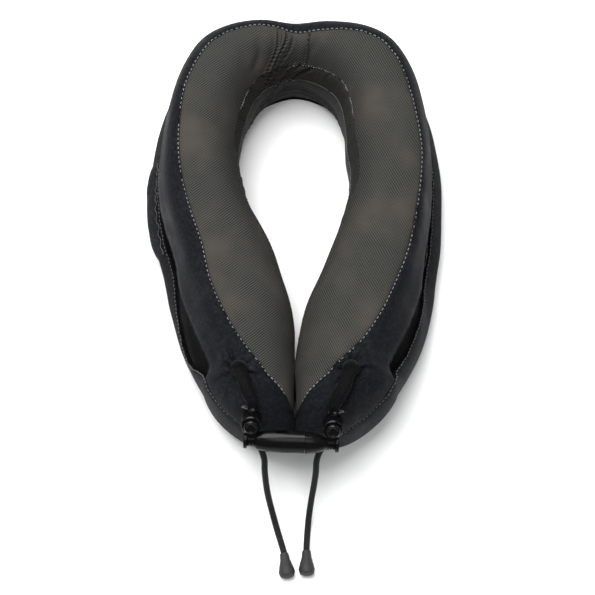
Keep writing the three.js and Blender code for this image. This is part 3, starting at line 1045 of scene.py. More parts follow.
@dataclass(frozen=True)
class Ring:
    """The ring's outer surface.

    Stations run from -LAST, the root of the left leg's rounded end, through 0 at the middle of the back to
    LAST, and one more each way over the rounded ends. Angles on a section are in degrees: 0 faces out, 90 up,
    180 into the neck hole and 270 down.

    Attributes:
        cap_length: from the last station to the front of the ring.
        cap_middle: height of the rounded end's nose.
        cap_inner_rounding: how far the nose's inner edge falls back from the middle plane.
        middle: where a section is widest, as a part of its height.
        upper: power of the section's upper half.
        lower: power of its lower half.
        squash: how far the lower half runs below the flat underside, as a multiple.
        gap: from the middle plane to each leg.
        roll_inset: how far the side roll stands back above the channel, on the left and right.
        band_out: how far the lower band stands out below it.
        front_rise: how much higher the channel's upper edge runs at the front, in degrees.
        press: how far the legs' inner faces press together towards their ends.
        pressed: stations where they start to touch and where they press fully.
        cap_powers: powers that round the caps in width, on top and below.
        rising: stations where the channel's rise starts and ends.
        rolled_from: station where the roll starts to stand back, on the left and right.
        rolled_full: and where it does so fully.
        rolled_to: stations where it comes forward again.
        banded_from: stations where the band starts to stand out and does so fully.
        banded_to: stations where it goes back again.
        roll_turn: angles above the channel between which the roll stands back.
        band_turn: angles between which the band stands out.
        leg_from: station past which a section belongs to one leg.
    """

    cap_length: float = 42.0
    cap_middle: float = 40.0
    cap_inner_rounding: float = 2.5
    middle: float = 0.46
    upper: float = 2.3
    lower: float = 2.6
    squash: float = 1.15
    gap: float = 0.03
    roll_inset: tuple[float, float] = (6.4, 8.0)
    band_out: float = 5.5
    front_rise: float = 27.0
    press: float = 2.4
    pressed: tuple[float, float] = (11.4, 12.6)
    cap_powers: tuple[tuple[float, float], ...] = ((1.3, 2.4), (2.6, 2.2), (3, 2.2))
    rising: tuple[float, float] = (8.6, 12.4)
    rolled_from: tuple[float, float] = (1.8, 2.0)
    rolled_full: tuple[float, float] = (5.0, 7.5)
    rolled_to: tuple[float, float] = (12.2, 13.0)
    banded_from: tuple[float, float] = (1.2, 4.2)
    banded_to: tuple[float, float] = (9.0, 12.6)
    roll_turn: tuple[float, float, float, float] = (-30.0, 2.0, 22.0, 68.0)
    band_turn: tuple[float, float, float, float] = (-64.0, -36.0, -24.0, -6.0)
    leg_from: float = 6.0

    def _table(self, read: Callable[[Station], float], mirrored: bool = False) -> Array:
        """One of the stations' values all round the ring, with its sign changed on the left if mirrored."""
        right = [read(s) for s in STATIONS]
        return along_ring([-v if mirrored else v for v in right], right)

    def points(self, stations: Array, degrees: Array, lift: float | Array = 0.0) -> Array:
        """Points of the surface.

        Args:
            stations: one for each row.
            degrees: the angles of each row's points, rows by columns.
            lift: how far they stand above the surface.

        Returns:
            The points, rows by columns by 3.
        """
        s = np.asarray(stations, float)
        side = np.where(s < 0, -1.0, 1.0)
        on_ring = np.clip(s, -LAST, LAST)
        u = np.clip(np.abs(s) - LAST, 0.0, 1.0)

        def at(read: Callable[[Station], float], mirrored: bool = False) -> Array:
            """A station value, splined at every row."""
            return splined(self._table(read, mirrored), on_ring)

        inner_x = at(lambda k: k.inner[0], True) + at(lambda k: k.inner_lean)
        outer_x = at(lambda k: k.outer[0], True) + at(lambda k: k.lean)
        inner = np.stack([inner_x, at(lambda k: k.inner[1])], 1)
        outer = np.stack([outer_x, at(lambda k: k.outer[1])], 1)
        height = at(lambda k: k.height)
        width, top, bottom = ((1 - u**a) ** (1 / b) for a, b in self.cap_powers)
        middle = height * self.middle
        rise_to = (height - middle * (1 - u) - self.cap_middle * u) * top
        middle = middle * (1 - u) + self.cap_middle * u
        inner[:, 0] += side * self.cap_inner_rounding * u**4
        inner[:, 0] -= side * self.press * smooth(np.abs(on_ring), *self.pressed)
        outer[:, 0] = inner[:, 0] + (outer[:, 0] - inner[:, 0]) * width
        inner[:, 1] -= self.cap_length * u
        outer[:, 1] -= self.cap_length * u
        half = (outer - inner) / 2
        centre = inner + half
        length = np.linalg.norm(half, axis=1, keepdims=True)
        across = half / np.maximum(length, 1e-6)
        c, w = np.cos(np.radians(degrees)), np.sin(np.radians(degrees))
        bend = np.where(w > 0, 2 / self.upper, 2 / self.lower)
        reach = np.maximum(length + lift, 0.3) * np.sign(c) * np.abs(c) ** bend + self._ledge(s, degrees)
        tall = np.where(w > 0, rise_to[:, None], (middle * self.squash * bottom)[:, None])
        rise = np.maximum(tall + lift, 0.3) * np.sign(w) * np.abs(w) ** bend
        x = centre[:, 0:1] + across[:, 0:1] * reach
        y = centre[:, 1:2] + across[:, 1:2] * reach
        floor = (middle * (1 - bottom))[:, None]
        z = np.maximum(middle[:, None] + rise, np.maximum(floor - lift, 0.0))
        return self.kept_apart(s, np.stack([x, y, z], axis=-1))

    def channel_rise(self, stations: Array) -> Array:
        """How much higher the channel's upper edge runs towards the front, in degrees."""
        return self.front_rise * smooth(np.abs(stations), *self.rising)

    def _ledge(self, stations: Array, degrees: Array) -> Array:
        """How far the outer wall stands back above the channel and out below it, at each point.

        Args:
            stations: the stations.
            degrees: the points' angles.

        Returns:
            The distances.
        """
        t = np.abs(stations)[:, None]
        left = (stations < 0)[:, None]
        rolled = smooth(t, np.where(left, *self.rolled_from), np.where(left, *self.rolled_full))
        rolled *= 1 - smooth(t, *self.rolled_to)
        banded = smooth(t, *self.banded_from) * (1 - smooth(t, *self.banded_to))
        turn = (np.asarray(degrees) + 90.0) % 360.0 - 90.0
        above = plateau(turn - self.channel_rise(stations)[:, None], self.roll_turn)
        below = plateau(turn, self.band_turn)
        return self.band_out * below * banded - np.where(left, *self.roll_inset) * above * rolled

    def kept_apart(self, stations: Array, points: Array) -> Array:
        """Keeps the two legs' points on their own sides of the middle plane and off the floor.

        Args:
            stations: the stations.
            points: the points.

        Returns:
            The points, changed in place.
        """
        side = np.where(stations < 0, -1.0, 1.0)[:, None]
        legs = (np.abs(stations) > self.leg_from)[:, None]
        own = side * np.maximum(side * points[..., 0], self.gap)
        points[..., 0] = np.where(legs, own, points[..., 0])
        points[..., 2] = np.maximum(points[..., 2], SKIM)
        return points


@dataclass(frozen=True)
class Pattern:
    """Where the cover's seams run, as an angle on the section at each station.

    Attributes:
        base_outer: outer edge of the flat underside.
        base_inner: its inner edge.
        channel_middle: middle of the recessed channel.
        channel_half: half its width.
        channel_from: station where it starts.
        channel_to: station where it ends.
        tip_seam: angle of the top panel's point.
        tip_at: where that point lies on the rounded end.
        tip_end: where the panel runs out between the legs.
        middle_share: where the seam between the collar and the inner mesh lies, from 0 to 1.
        opening: how soon the channel opens from its ends.
        closing: station where the lower band starts to follow the channel's rise.
        follows: how much of the rise it follows before that, on the left and right.
        collar_to: station where the collar has run out.
        left_outer: the outer seam's angle at each station of the left half.
        right_outer: the same on the right.
        left_inner: the inner seam's angle at each station of the left half.
        right_inner: the same on the right.
    """

    base_outer: float = -55.0
    base_inner: float = 235.0
    channel_middle: float = -1.0
    channel_half: float = 9.0
    channel_from: float = 2.0
    channel_to: float = 12.9
    tip_seam: float = 158.0
    tip_at: float = 0.55
    tip_end: float = 0.78
    middle_share: float = 0.3
    opening: float = 3.2
    closing: float = 11.4
    follows: tuple[float, float] = (0.15, 0.9)
    collar_to: float = 9.0
    left_outer: tuple[float, ...] = (90, 76, 74, 73, 72, 72, 73, 74, 75, 75, 76, 84, 96, 110)
    right_outer: tuple[float, ...] = (90, 87, 76, 67, 62, 62, 62, 62, 62, 63, 70, 79, 92, 108)
    left_inner: tuple[float, ...] = (151, 152, 152.5, 153, 153.5, 156, 163, 177, 203, 235, 235, 235, 235, 235)
    right_inner: tuple[float, ...] = (
        151, 150.5, 147, 143, 143.5, 143, 141.5, 144, 178, 235, 235, 235, 235, 235
    )

    def outer(self, s: Array) -> Array:
        """The seam between the side roll and the top panel.

        Args:
            s: the stations.

        Returns:
            The angles.
        """
        angle = splined(along_ring(self.left_outer, self.right_outer), s)
        end = np.abs(s) - LAST
        last = np.where(s < 0, self.left_outer[-1], self.right_outer[-1])
        to_tip = last + (self.tip_seam - last) * np.clip(end / self.tip_at, 0, 1)
        past = np.clip((end - self.tip_at) / (self.tip_end - self.tip_at), 0, 1)
        to_tip = to_tip + (self.base_inner - self.tip_seam) * past
        return np.where(end > 0, to_tip, angle)

    def inner(self, s: Array) -> Array:
        """The seam between the top panel and the collar, and then the top panel's lower edge."""
        angle = splined(along_ring(self.left_inner, self.right_inner), s)
        return np.where(np.abs(s) >= self.collar_to, self.base_inner, np.minimum(angle, self.base_inner))

    def middle(self, s: Array) -> Array:
        """The seam between the collar and the inner mesh."""
        return self.inner(s) + (self.base_inner - self.inner(s)) * self.middle_share

    def _channel(self, s: Array) -> Array:
        """Half the channel's width at each station.

        Args:
            s: the stations.

        Returns:
            The half widths, in degrees.
        """
        span = self.channel_to - self.channel_from
        along = np.clip((np.abs(s) - self.channel_from) / span, 0, 1)
        return self.channel_half * np.minimum(1, self.opening * np.sqrt(along * (1 - along)))

    def channel_top(self, s: Array) -> Array:
        """The lower edge of the side roll."""
        return self.channel_middle + self._channel(s) + RING.channel_rise(s)

    def channel_bottom(self, s: Array) -> Array:
        """The upper edge of the lower band, which stays low on the left until the channel closes.

        Args:
            s: the stations.

        Returns:
            The angles.
        """
        late = smooth(np.abs(s), self.closing, self.channel_to)
        early = np.where(s < 0, *self.follows)
        share = early + (1 - early) * late
        return self.channel_middle - self._channel(s) + RING.channel_rise(s) * share


RING = Ring()
PATTERN = Pattern()


# ---- relief of the cloth ----


@dataclass
class Sheet:
    """A panel before its relief.

    Attributes:
        stations: its rows' stations.
        points: its points, rows by columns.
        across: how far each point lies from the first edge.
        width: how wide each row is.
        along: how far each row lies from the middle of the back.
    """

    stations: Array
    points: Array
    across: Array
    width: Array
    along: Array

    def flat(
        self, rib_angles: tuple[float, float], mirror: float, slant: float = 0.35
    ) -> tuple[Array, Array]:
        """Coordinates on the flat cloth, which keeps one direction all round the ring.

        Args:
            rib_angles: direction of the ribs on the left and on the right, in degrees.
            mirror: station where one changes to the other.
            slant: how far the ribs lean on an upright wall.

        Returns:
            How far across the ribs and how far along them each point lies.
        """
        x, y, z = (self.points[..., k] for k in range(3))
        angle = np.radians(np.where(self.stations < mirror, *rib_angles))[:, None]
        over = y * np.cos(angle) - x * np.sin(angle) + slant * z
        along = x * np.cos(angle) + y * np.sin(angle) + slant * z
        return over, along


class Relief:
    """Something that lifts or sinks the cloth."""

    def height(self, sheet: Sheet) -> Array:
        """How far each point is lifted, in millimetres."""
        raise NotImplementedError


@dataclass(frozen=True)
class Swell(Relief):
    """Slow unevenness of the foam under the cloth, as a sum of long waves.

    Attributes:
        rise: height of the swells.
        length: their length.
        seed: which swells.
        waves: how many waves are summed.
    """

    rise: float
    length: float
    seed: int
    waves: int = 14

    def height(self, sheet: Sheet) -> Array:
        """The swells' height at each point.

        Args:
            sheet: the panel before its relief.

        Returns:
            The heights in millimetres.
        """
        chance = np.random.default_rng(self.seed)
        total = np.zeros(sheet.points.shape[:2])
        for _ in range(self.waves):
            direction = unit(chance.normal(size=3)) * math.tau / (self.length * chance.uniform(0.7, 1.6))
            total += np.sin(sheet.points @ direction + chance.uniform(0, math.tau))
        return total * self.rise / math.sqrt(self.waves)


@dataclass(frozen=True)
class SeamDip(Relief):
    """The cloth pulled down along its sewn edges.

    Attributes:
        depth: how deep at the seam.
        reach: how soon it recovers.
        high: whether the last edge is sewn.
    """

    depth: float = 1.3
    reach: float = 2.2
    high: bool = True

    def height(self, sheet: Sheet) -> Array:
        """The dip at each point.

        Args:
            sheet: the panel before its relief.

        Returns:
            The heights in millimetres.
        """
        total = -self.depth * np.exp(-sheet.across / self.reach)
        if self.high:
            total -= self.depth * np.exp(-(sheet.width - sheet.across) / self.reach)
        return total


@dataclass(frozen=True)
class Pucker(Relief):
    """Small irregular puckers that run in from a sewn edge.

    Attributes:
        rise: their height.
        pitch: from one to the next.
        reach: how far in they run.
        seed: which puckers.
        low: whether they run in from the first edge, or else from the last.
    """

    rise: float
    pitch: float
    reach: float
    seed: int
    low: bool = True

    def height(self, sheet: Sheet) -> Array:
        """The puckers' height at each point.

        Args:
            sheet: the panel before its relief.

        Returns:
            The heights in millimetres.
        """
        chance = np.random.default_rng(self.seed)
        away = sheet.across if self.low else sheet.width - sheet.across
        total = np.zeros_like(away)
        for scale in (0.7, 1.0, 1.45, 2.3):
            slant = chance.uniform(-0.5, 0.5)
            phase = chance.uniform(0, math.tau)
            wave = np.sin(math.tau * (sheet.along + slant * away) / (self.pitch * scale) + phase)
            total += wave * np.sin(sheet.along / (self.pitch * 3.7 * scale) + phase)
        return self.rise * total * 0.6 * np.exp(-((away / self.reach) ** 1.5))


@dataclass(frozen=True)
class Fold(Relief):
    """A crease along a line on the ring, with a soft lip on each side.

    Attributes:
        route: the line's points as station and angle.
        depth: how deep it is.
        width: half its width.
        lip: height of the lips, as a part of the depth.
    """

    route: tuple[tuple[float, float], ...]
    depth: float
    width: float = 1.6
    lip: float = 0.55

    def line(self) -> Array:
        """The crease's points on the ring.

        Returns:
            The line's points.
        """
        route = np.array(self.route, float)
        corners = RING.points(route[:, 0], route[:, 1:2])[:, 0]
        return smooth_line(corners, 12)

    def height(self, sheet: Sheet) -> Array:
        """The crease's relief at each point.

        Args:
            sheet: the panel before its relief.

        Returns:
            The heights in millimetres.
        """
        line = self.line()
        near = np.full(sheet.across.shape, 1e9)
        share = np.zeros(sheet.across.shape)
        for k, point in enumerate(line):
            gap = np.linalg.norm(sheet.points - point, axis=-1)
            closer = gap < near
            near = np.where(closer, gap, near)
            share = np.where(closer, k / (len(line) - 1), share)
        fade = np.clip(np.sin(math.pi * np.clip(share * 0.92 + 0.04, 0, 1)) * 2.2, 0, 1)
        valley = np.exp(-((near / self.width) ** 2))
        lips = np.exp(-(((near - 2.3 * self.width) / (1.1 * self.width)) ** 2))
        return self.depth * fade * (self.lip * lips - valley)


@dataclass(frozen=True)
class Mound(Relief):
    """A soft bump, or a dimple where its height is negative.

    Attributes:
        centre: its middle.
        radius: how wide it is.
        rise: how high it is.
    """

    centre: tuple[float, float, float]
    radius: float
    rise: float

    def height(self, sheet: Sheet) -> Array:
        """The bump's height at each point."""
        gap = np.linalg.norm(sheet.points - np.array(self.centre), axis=-1)
        return self.rise * np.exp(-((gap / self.radius) ** 2))


@dataclass(frozen=True)
class Slot(Relief):
    """The straight recess in the underside that the zip lies in.

    Attributes:
        x: its middle.
        ends: where it starts and ends along y.
        half: half its width.
        wall: how wide its sloping wall is.
        depth: how deep it is.
    """

    x: float
    ends: tuple[float, float]
    half: float
    wall: float
    depth: float

    def height(self, sheet: Sheet) -> Array:
        """The recess's height at each point.

        Args:
            sheet: the panel before its relief.

        Returns:
            The heights in millimetres.
        """
        aside = np.abs(sheet.points[..., 0] - self.x)
        y = sheet.points[..., 1]
        across = 1 - smooth(aside, self.half, self.half + self.wall)
        low, high = self.ends
        along = plateau(y, (low - self.wall, low, high, high + self.wall))
        under = sheet.points[..., 2] < self.half
        return -self.depth * across * along * under


@dataclass(frozen=True)
class Gather(Relief):
    """Folds that run out like rays from a point where the cloth is drawn in.

    Attributes:
        centre: the point.
        rays: how many folds.
        rise: their height.
        start: where they start.
        reach: where they have faded.
        seed: which folds.
    """

    centre: tuple[float, float, float]
    rays: int
    rise: float
    start: float
    reach: float
    seed: int

    def height(self, sheet: Sheet) -> Array:
        """The folds' height at each point.

        Args:
            sheet: the panel before its relief.

        Returns:
            The heights in millimetres.
        """
        chance = np.random.default_rng(self.seed)
        away = sheet.points - np.array(self.centre)
        gap = np.linalg.norm(away, axis=-1)
        turn = np.arctan2(away[..., 1], away[..., 0])
        total = np.zeros_like(gap)
        for scale in (0.6, 1.0, 1.7):
            phase = chance.uniform(0, math.tau)
            crease = np.abs(np.cos(round(self.rays * scale) * turn / 2 + phase + 0.03 * gap)) ** 0.7
            total += (1.5 * crease - 1.0) / (0.6 + scale)
        grown = np.clip((gap - self.start) / 3.0, 0, 1)
        return self.rise * total * grown * np.exp(-((gap / self.reach) ** 2)) * (gap < 3 * self.reach)


@dataclass(frozen=True)
class Pouch(Relief):
    """The belly of a pocket, full in the middle and sewn flat round its edge.

    Attributes:
        rise: how far it stands out.
        reach: how far in from its ends it is full.
    """

    rise: float
    reach: float = 14.0

    def height(self, sheet: Sheet) -> Array:
        """The pocket's height at each point.

        Args:
            sheet: the panel before its relief.

        Returns:
            The heights in millimetres.
        """
        share = np.clip(sheet.across / np.maximum(sheet.width, 1e-6), 0, 1)
        low, high = sheet.along.min(), sheet.along.max()
        ends = np.clip((sheet.along - low) / self.reach, 0, 1)
        ends *= np.clip((high - sheet.along) / self.reach, 0, 1)
        return self.rise * np.sin(math.pi * share) ** 0.6 * np.sin(math.pi * 0.5 * ends)


# ---- the cover ----


@dataclass(frozen=True)
class Panel:
    """One panel of the cover.

    Attributes:
        name: its name, which is its CAD node's name without the side.
        finish: its finish.
        slot: a material slot's name, handed to the hinge.
        low: its first edge, an angle at each station.
        high: its last edge.
        columns: points across it.
        reliefs: what shapes it.
        lift: how far it stands above the ring's surface.
        first: the station where it starts, on both sides.
        last: the station where it ends.
        hem: how deep its edges turn in.
        fill: how full it is.
        sides: the zones that it has pieces in.
        ribs: direction of the cloth's ribs on the left and right, or None where they follow the ring.
    """

    name: str
    finish: Finish
    slot: str
    low: Callable[[Array], Array]
    high: Callable[[Array], Array]
    columns: int
    reliefs: tuple[Relief, ...] = ()
    lift: float = 0.0
    first: float = 0.0
    last: float = LAST + 1.0
    hem: float = 2.6
    fill: float = 0.8
    sides: tuple[Zone, ...] = (Zone.LEFT, Zone.BACK, Zone.RIGHT)
    ribs: tuple[float, float] | None = None


@dataclass
class Laid:
    """A laid panel.

    Attributes:
        points: its points in each zone.
        normals: their normals.
        stations: the rows' stations.
    """

    points: dict[Zone, Array] = field(default_factory=dict)
    normals: dict[Zone, Array] = field(default_factory=dict)
    stations: dict[Zone, Array] = field(default_factory=dict)

    def edge(self, zone: Zone, high: bool) -> tuple[Array, Array]:
        """The points and normals along one edge in a zone."""
        column = -1 if high else 0
        return self.points[zone][:, column], self.normals[zone][:, column]


@dataclass
class Cover:
    """Lays the cover's panels on the ring.

    Attributes:
        back: station where the cover's stretch at the back starts.
        leg_step: stations from row to row on the legs.
        back_step: and at the back.
        cap_rows: rows over each rounded end.
        cap_turn: how far they go over it, in degrees.
        cap_power: how much closer they are at the start.
        last_share: how far over it the panels run.
        mirror: station of the seam at the centre of the back, where the weave turns.
    """

    back: float = 2.0
    leg_step: float = 0.085
    back_step: float = 0.02
    cap_rows: int = 34
    cap_turn: float = 88.6
    cap_power: float = 1.25
    last_share: float = 0.998
    mirror: float = 0.5

    def rows(self) -> Array:
        """The stations of every row, from the left end to the right.

        Returns:
            The stations.
        """
        back = np.linspace(0, self.back, round(self.back / self.back_step) + 1)
        legs = np.linspace(self.back, LAST, round((LAST - self.back) / self.leg_step) + 1)[1:]
        turn = np.linspace(0, math.radians(self.cap_turn), self.cap_rows + 1)[1:]
        right = np.concatenate([back, legs, LAST + np.sin(turn) ** self.cap_power])
        return np.concatenate([-right[:0:-1], right])

    def _zones(self, stations: Array) -> dict[Zone, Array]:
        """Which rows belong to each zone, the border rows to both.

        Args:
            stations: the stations.

        Returns:
            Each zone's rows.
        """
        tiny = 1e-6
        return {
            Zone.LEFT: np.flatnonzero(stations <= -self.back + tiny),
            Zone.BACK: np.flatnonzero(np.abs(stations) <= self.back + tiny),
            Zone.RIGHT: np.flatnonzero(stations >= self.back - tiny),
        }

    def _sheet(self, panel: Panel, stations: Array) -> Sheet:
        """The panel's points before its relief, evenly spaced across it.

        Args:
            panel: the panel.
            stations: its rows.

        Returns:
            The sheet.
        """
        low, high = panel.low(stations), panel.high(stations)
        share = np.linspace(0, 1, 4 * panel.columns)
        dense = low[:, None] + (high - low)[:, None] * share
        trial = RING.points(stations, dense, panel.lift)
        steps = np.linalg.norm(np.diff(trial, axis=1), axis=2)
        reach = np.concatenate([np.zeros((len(stations), 1)), np.cumsum(steps, axis=1)], axis=1)
        even = np.linspace(0, 1, panel.columns)
        degrees = np.stack([np.interp(even * r[-1], r, d) for r, d in zip(reach, dense, strict=True)])
        points = RING.points(stations, degrees, panel.lift)
        across = even[None, :] * reach[:, -1:]
        middle = points[:, panel.columns // 2]
        run = distances(middle)
        run = np.abs(run - np.interp(self.mirror, stations, run))
        along = np.broadcast_to(run[:, None], across.shape)
        return Sheet(stations, points, across, reach[:, -1:], along)

    @staticmethod
    def _normals(points: Array) -> Array:
        """Outward normals of a grid of points.

        Args:
            points: the points.

        Returns:
            The normals.
        """
        down = np.gradient(points, axis=0)
        across = np.gradient(points, axis=1)
        return unit(np.cross(across, down))

    def lay(self, panel: Panel) -> Laid:
        """Makes a panel's pieces.

        Args:
            panel: the panel.

        Returns:
            Where its points lie.
        """
        every = self.rows()
        inside = (np.abs(every) >= panel.first) & (np.abs(every) <= panel.last)
        laid = Laid()
        for run in self._runs(every, inside, panel):
            sheet = self._sheet(panel, run)
            lift = sum((r.height(sheet) for r in panel.reliefs), np.zeros(sheet.across.shape))
            points = RING.kept_apart(run, sheet.points + self._normals(sheet.points) * lift[..., None])
            normals = self._normals(points)
            edge = np.minimum(sheet.across, sheet.width - sheet.across)
            first, second = sheet.along, sheet.across
            if panel.ribs is not None:
                first, second = sheet.flat(panel.ribs, self.mirror)
            weave = np.stack([first, second, edge], axis=-1)
            for zone, rows in self._zones(run).items():
                if len(rows) < 2 or zone not in panel.sides:
                    continue
                laid.points[zone] = points[rows]
                laid.normals[zone] = normals[rows]
                laid.stations[zone] = run[rows]
                self._piece(panel, zone, points[rows], normals[rows], weave[rows])
        return laid

    @staticmethod
    def _runs(every: Array, inside: Array, panel: Panel) -> list[Array]:
        """The unbroken stretches of rows that a panel covers.

        Args:
            every: all rows.
            inside: which of them the panel covers.
            panel: the panel.

        Returns:
            The stretches.
        """
        if panel.first <= 0:
            return [every[inside]]
        chosen = []
        for side in (-1, 1):
            rows = every[inside & (np.sign(every) == side)]
            ends = side * np.array([panel.first, panel.last])
            rows = np.unique(np.concatenate([rows, ends[np.abs(ends) <= LAST + 0.99]]))
            zone = Zone.LEFT if side < 0 else Zone.RIGHT
            if zone in panel.sides:
                chosen.append(rows)
        return chosen

    def _piece(
        self, panel: Panel, zone: Zone, points: Array, normals: Array, weave: Array
    ) -> None:
        """Makes one zone of a panel, its edges turned in.

        Args:
            panel: the panel.
            zone: the zone.
            points: its points.
            normals: their normals.
            weave: their cloth coordinates.
        """
        first = points[:, :1] - normals[:, :1] * panel.hem
        last = points[:, -1:] - normals[:, -1:] * panel.hem
        grid = np.concatenate([first, points, last], axis=1)
        grid[..., 2] = np.maximum(grid[..., 2], SKIM)
        facing = np.concatenate([normals[:, :1], normals, normals[:, -1:]], axis=1)
        cloth = np.concatenate([weave[:, :1], weave, weave[:, -1:]], axis=1)
        faces = grid_faces(grid.shape[0], grid.shape[1])
        shape = Shape(grid.reshape(-1, 3), faces, cloth.reshape(-1, 3), facing.reshape(-1, 3))
        piece = shape.to_object(f"{panel.name}_{zone.value}", panel.finish)
        sides = ("left", "right") if zone is Zone.BACK else (zone.value,)
        names = [n for side in sides for n in (f"{side}_{panel.name}", panel.name)]
        nodes = (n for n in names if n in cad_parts)
        HINGE.settle(piece, zone, panel.slot, *nodes, fill=panel.fill)


# ---- seams ----


@dataclass(frozen=True)
class Stitch:
    """A row of stitches in real thread.

    Attributes:
        finish: the thread.
        slot: a material slot's name, handed to the hinge.
        pitch: from stitch to stitch.
        length: length of a stitch.
        radius: the thread's radius.
        rise: how far a stitch stands above the cloth.
        proud: how far the row's middle stands out, in radii.
        sides: points round the thread.
    """

    finish: Finish
    slot: str
    pitch: float = 3.6
    length: float = 2.1
    radius: float = 0.42
    rise: float = 0.35
    proud: float = 1.2
    sides: int = 6

    def shape(self, line: Array, normals: Array) -> Shape:
        """The stitches along a line.

        Args:
            line: the line's points.
            normals: the cloth's normals there.

        Returns:
            All the stitches as one shape.
        """
        total = distances(line)[-1]
        profile = np.array([-0.5, -0.36, 0.0, 0.36, 0.5])
        heights = np.array([-0.9, 0.55, 1.0, 0.55, -0.9])
        swell = np.array([0.55, 0.95, 1.0, 0.95, 0.55])
        angle = np.linspace(0, math.tau, self.sides, endpoint=False)
        points, weave, faces = [], [], []
        for at in np.arange(self.pitch * 0.5, total - self.pitch * 0.5, self.pitch):
            where = at + profile * self.length
            middle = resampled(line, line, where)
            up = unit(resampled(line, normals, where))
            along = unit(np.gradient(middle, axis=0))
            side = unit(np.cross(along, up))
            middle = middle + up * (heights * self.rise + self.radius * self.proud)[:, None]
            ring = side[:, None] * np.cos(angle)[None, :, None] + up[:, None] * np.sin(angle)[None, :, None]
            start = len(points) * len(profile) * self.sides
            points.append((middle[:, None] + ring * (self.radius * swell)[:, None, None]).reshape(-1, 3))
            weave.append(round_weave(where, angle / math.tau).reshape(-1, 3))
            faces += [tuple(i + start for i in f) for f in closed_faces(len(profile), self.sides)]
        return Shape(np.vstack(points), faces, np.vstack(weave))

    def sew(self, name: str, zone: Zone, line: Array, normals: Array) -> None:
        """Makes a row of stitches in one zone.

        Args:
            name: its name.
            zone: the zone.
            line: the line's points.
            normals: the cloth's normals there.
        """
        piece = self.shape(line, normals).to_object(f"{name}_{zone.value}", self.finish)
        HINGE.settle(piece, zone, self.slot)


@dataclass(frozen=True)
class Welt:
    """A narrow rolled edge along a seam.

    Attributes:
        finish: its finish.
        slot: a material slot's name, handed to the hinge.
        radius: its radius.
        sink: how far its middle lies below the seam.
    """

    finish: Finish
    slot: str
    radius: float = 0.9
    sink: float = 0.2

    def roll(self, name: str, zone: Zone, line: Array, normals: Array) -> None:
        """Makes the edge in one zone.

        Args:
            name: its name.
            zone: the zone.
            line: the seam's points.
            normals: the cloth's normals there.
        """
        tube = Tube(line - normals * self.sink, self.radius, sides=10, ripple=self._ripple)
        piece = tube.shape().to_object(f"{name}_{zone.value}", self.finish)
        HINGE.settle(piece, zone, self.slot)

    @staticmethod
    def _ripple(along: Array, turn: Array) -> Array:
        """Slight unevenness where stitches draw the edge in."""
        return 1.0 + 0.07 * np.sin(along * math.tau / 3.1) + 0.0 * turn


# ---- the cover's panels ----


EYELETS = {Zone.LEFT: (-40.0, -114.0, 86.2), Zone.RIGHT: (40.0, -114.0, 86.2)}


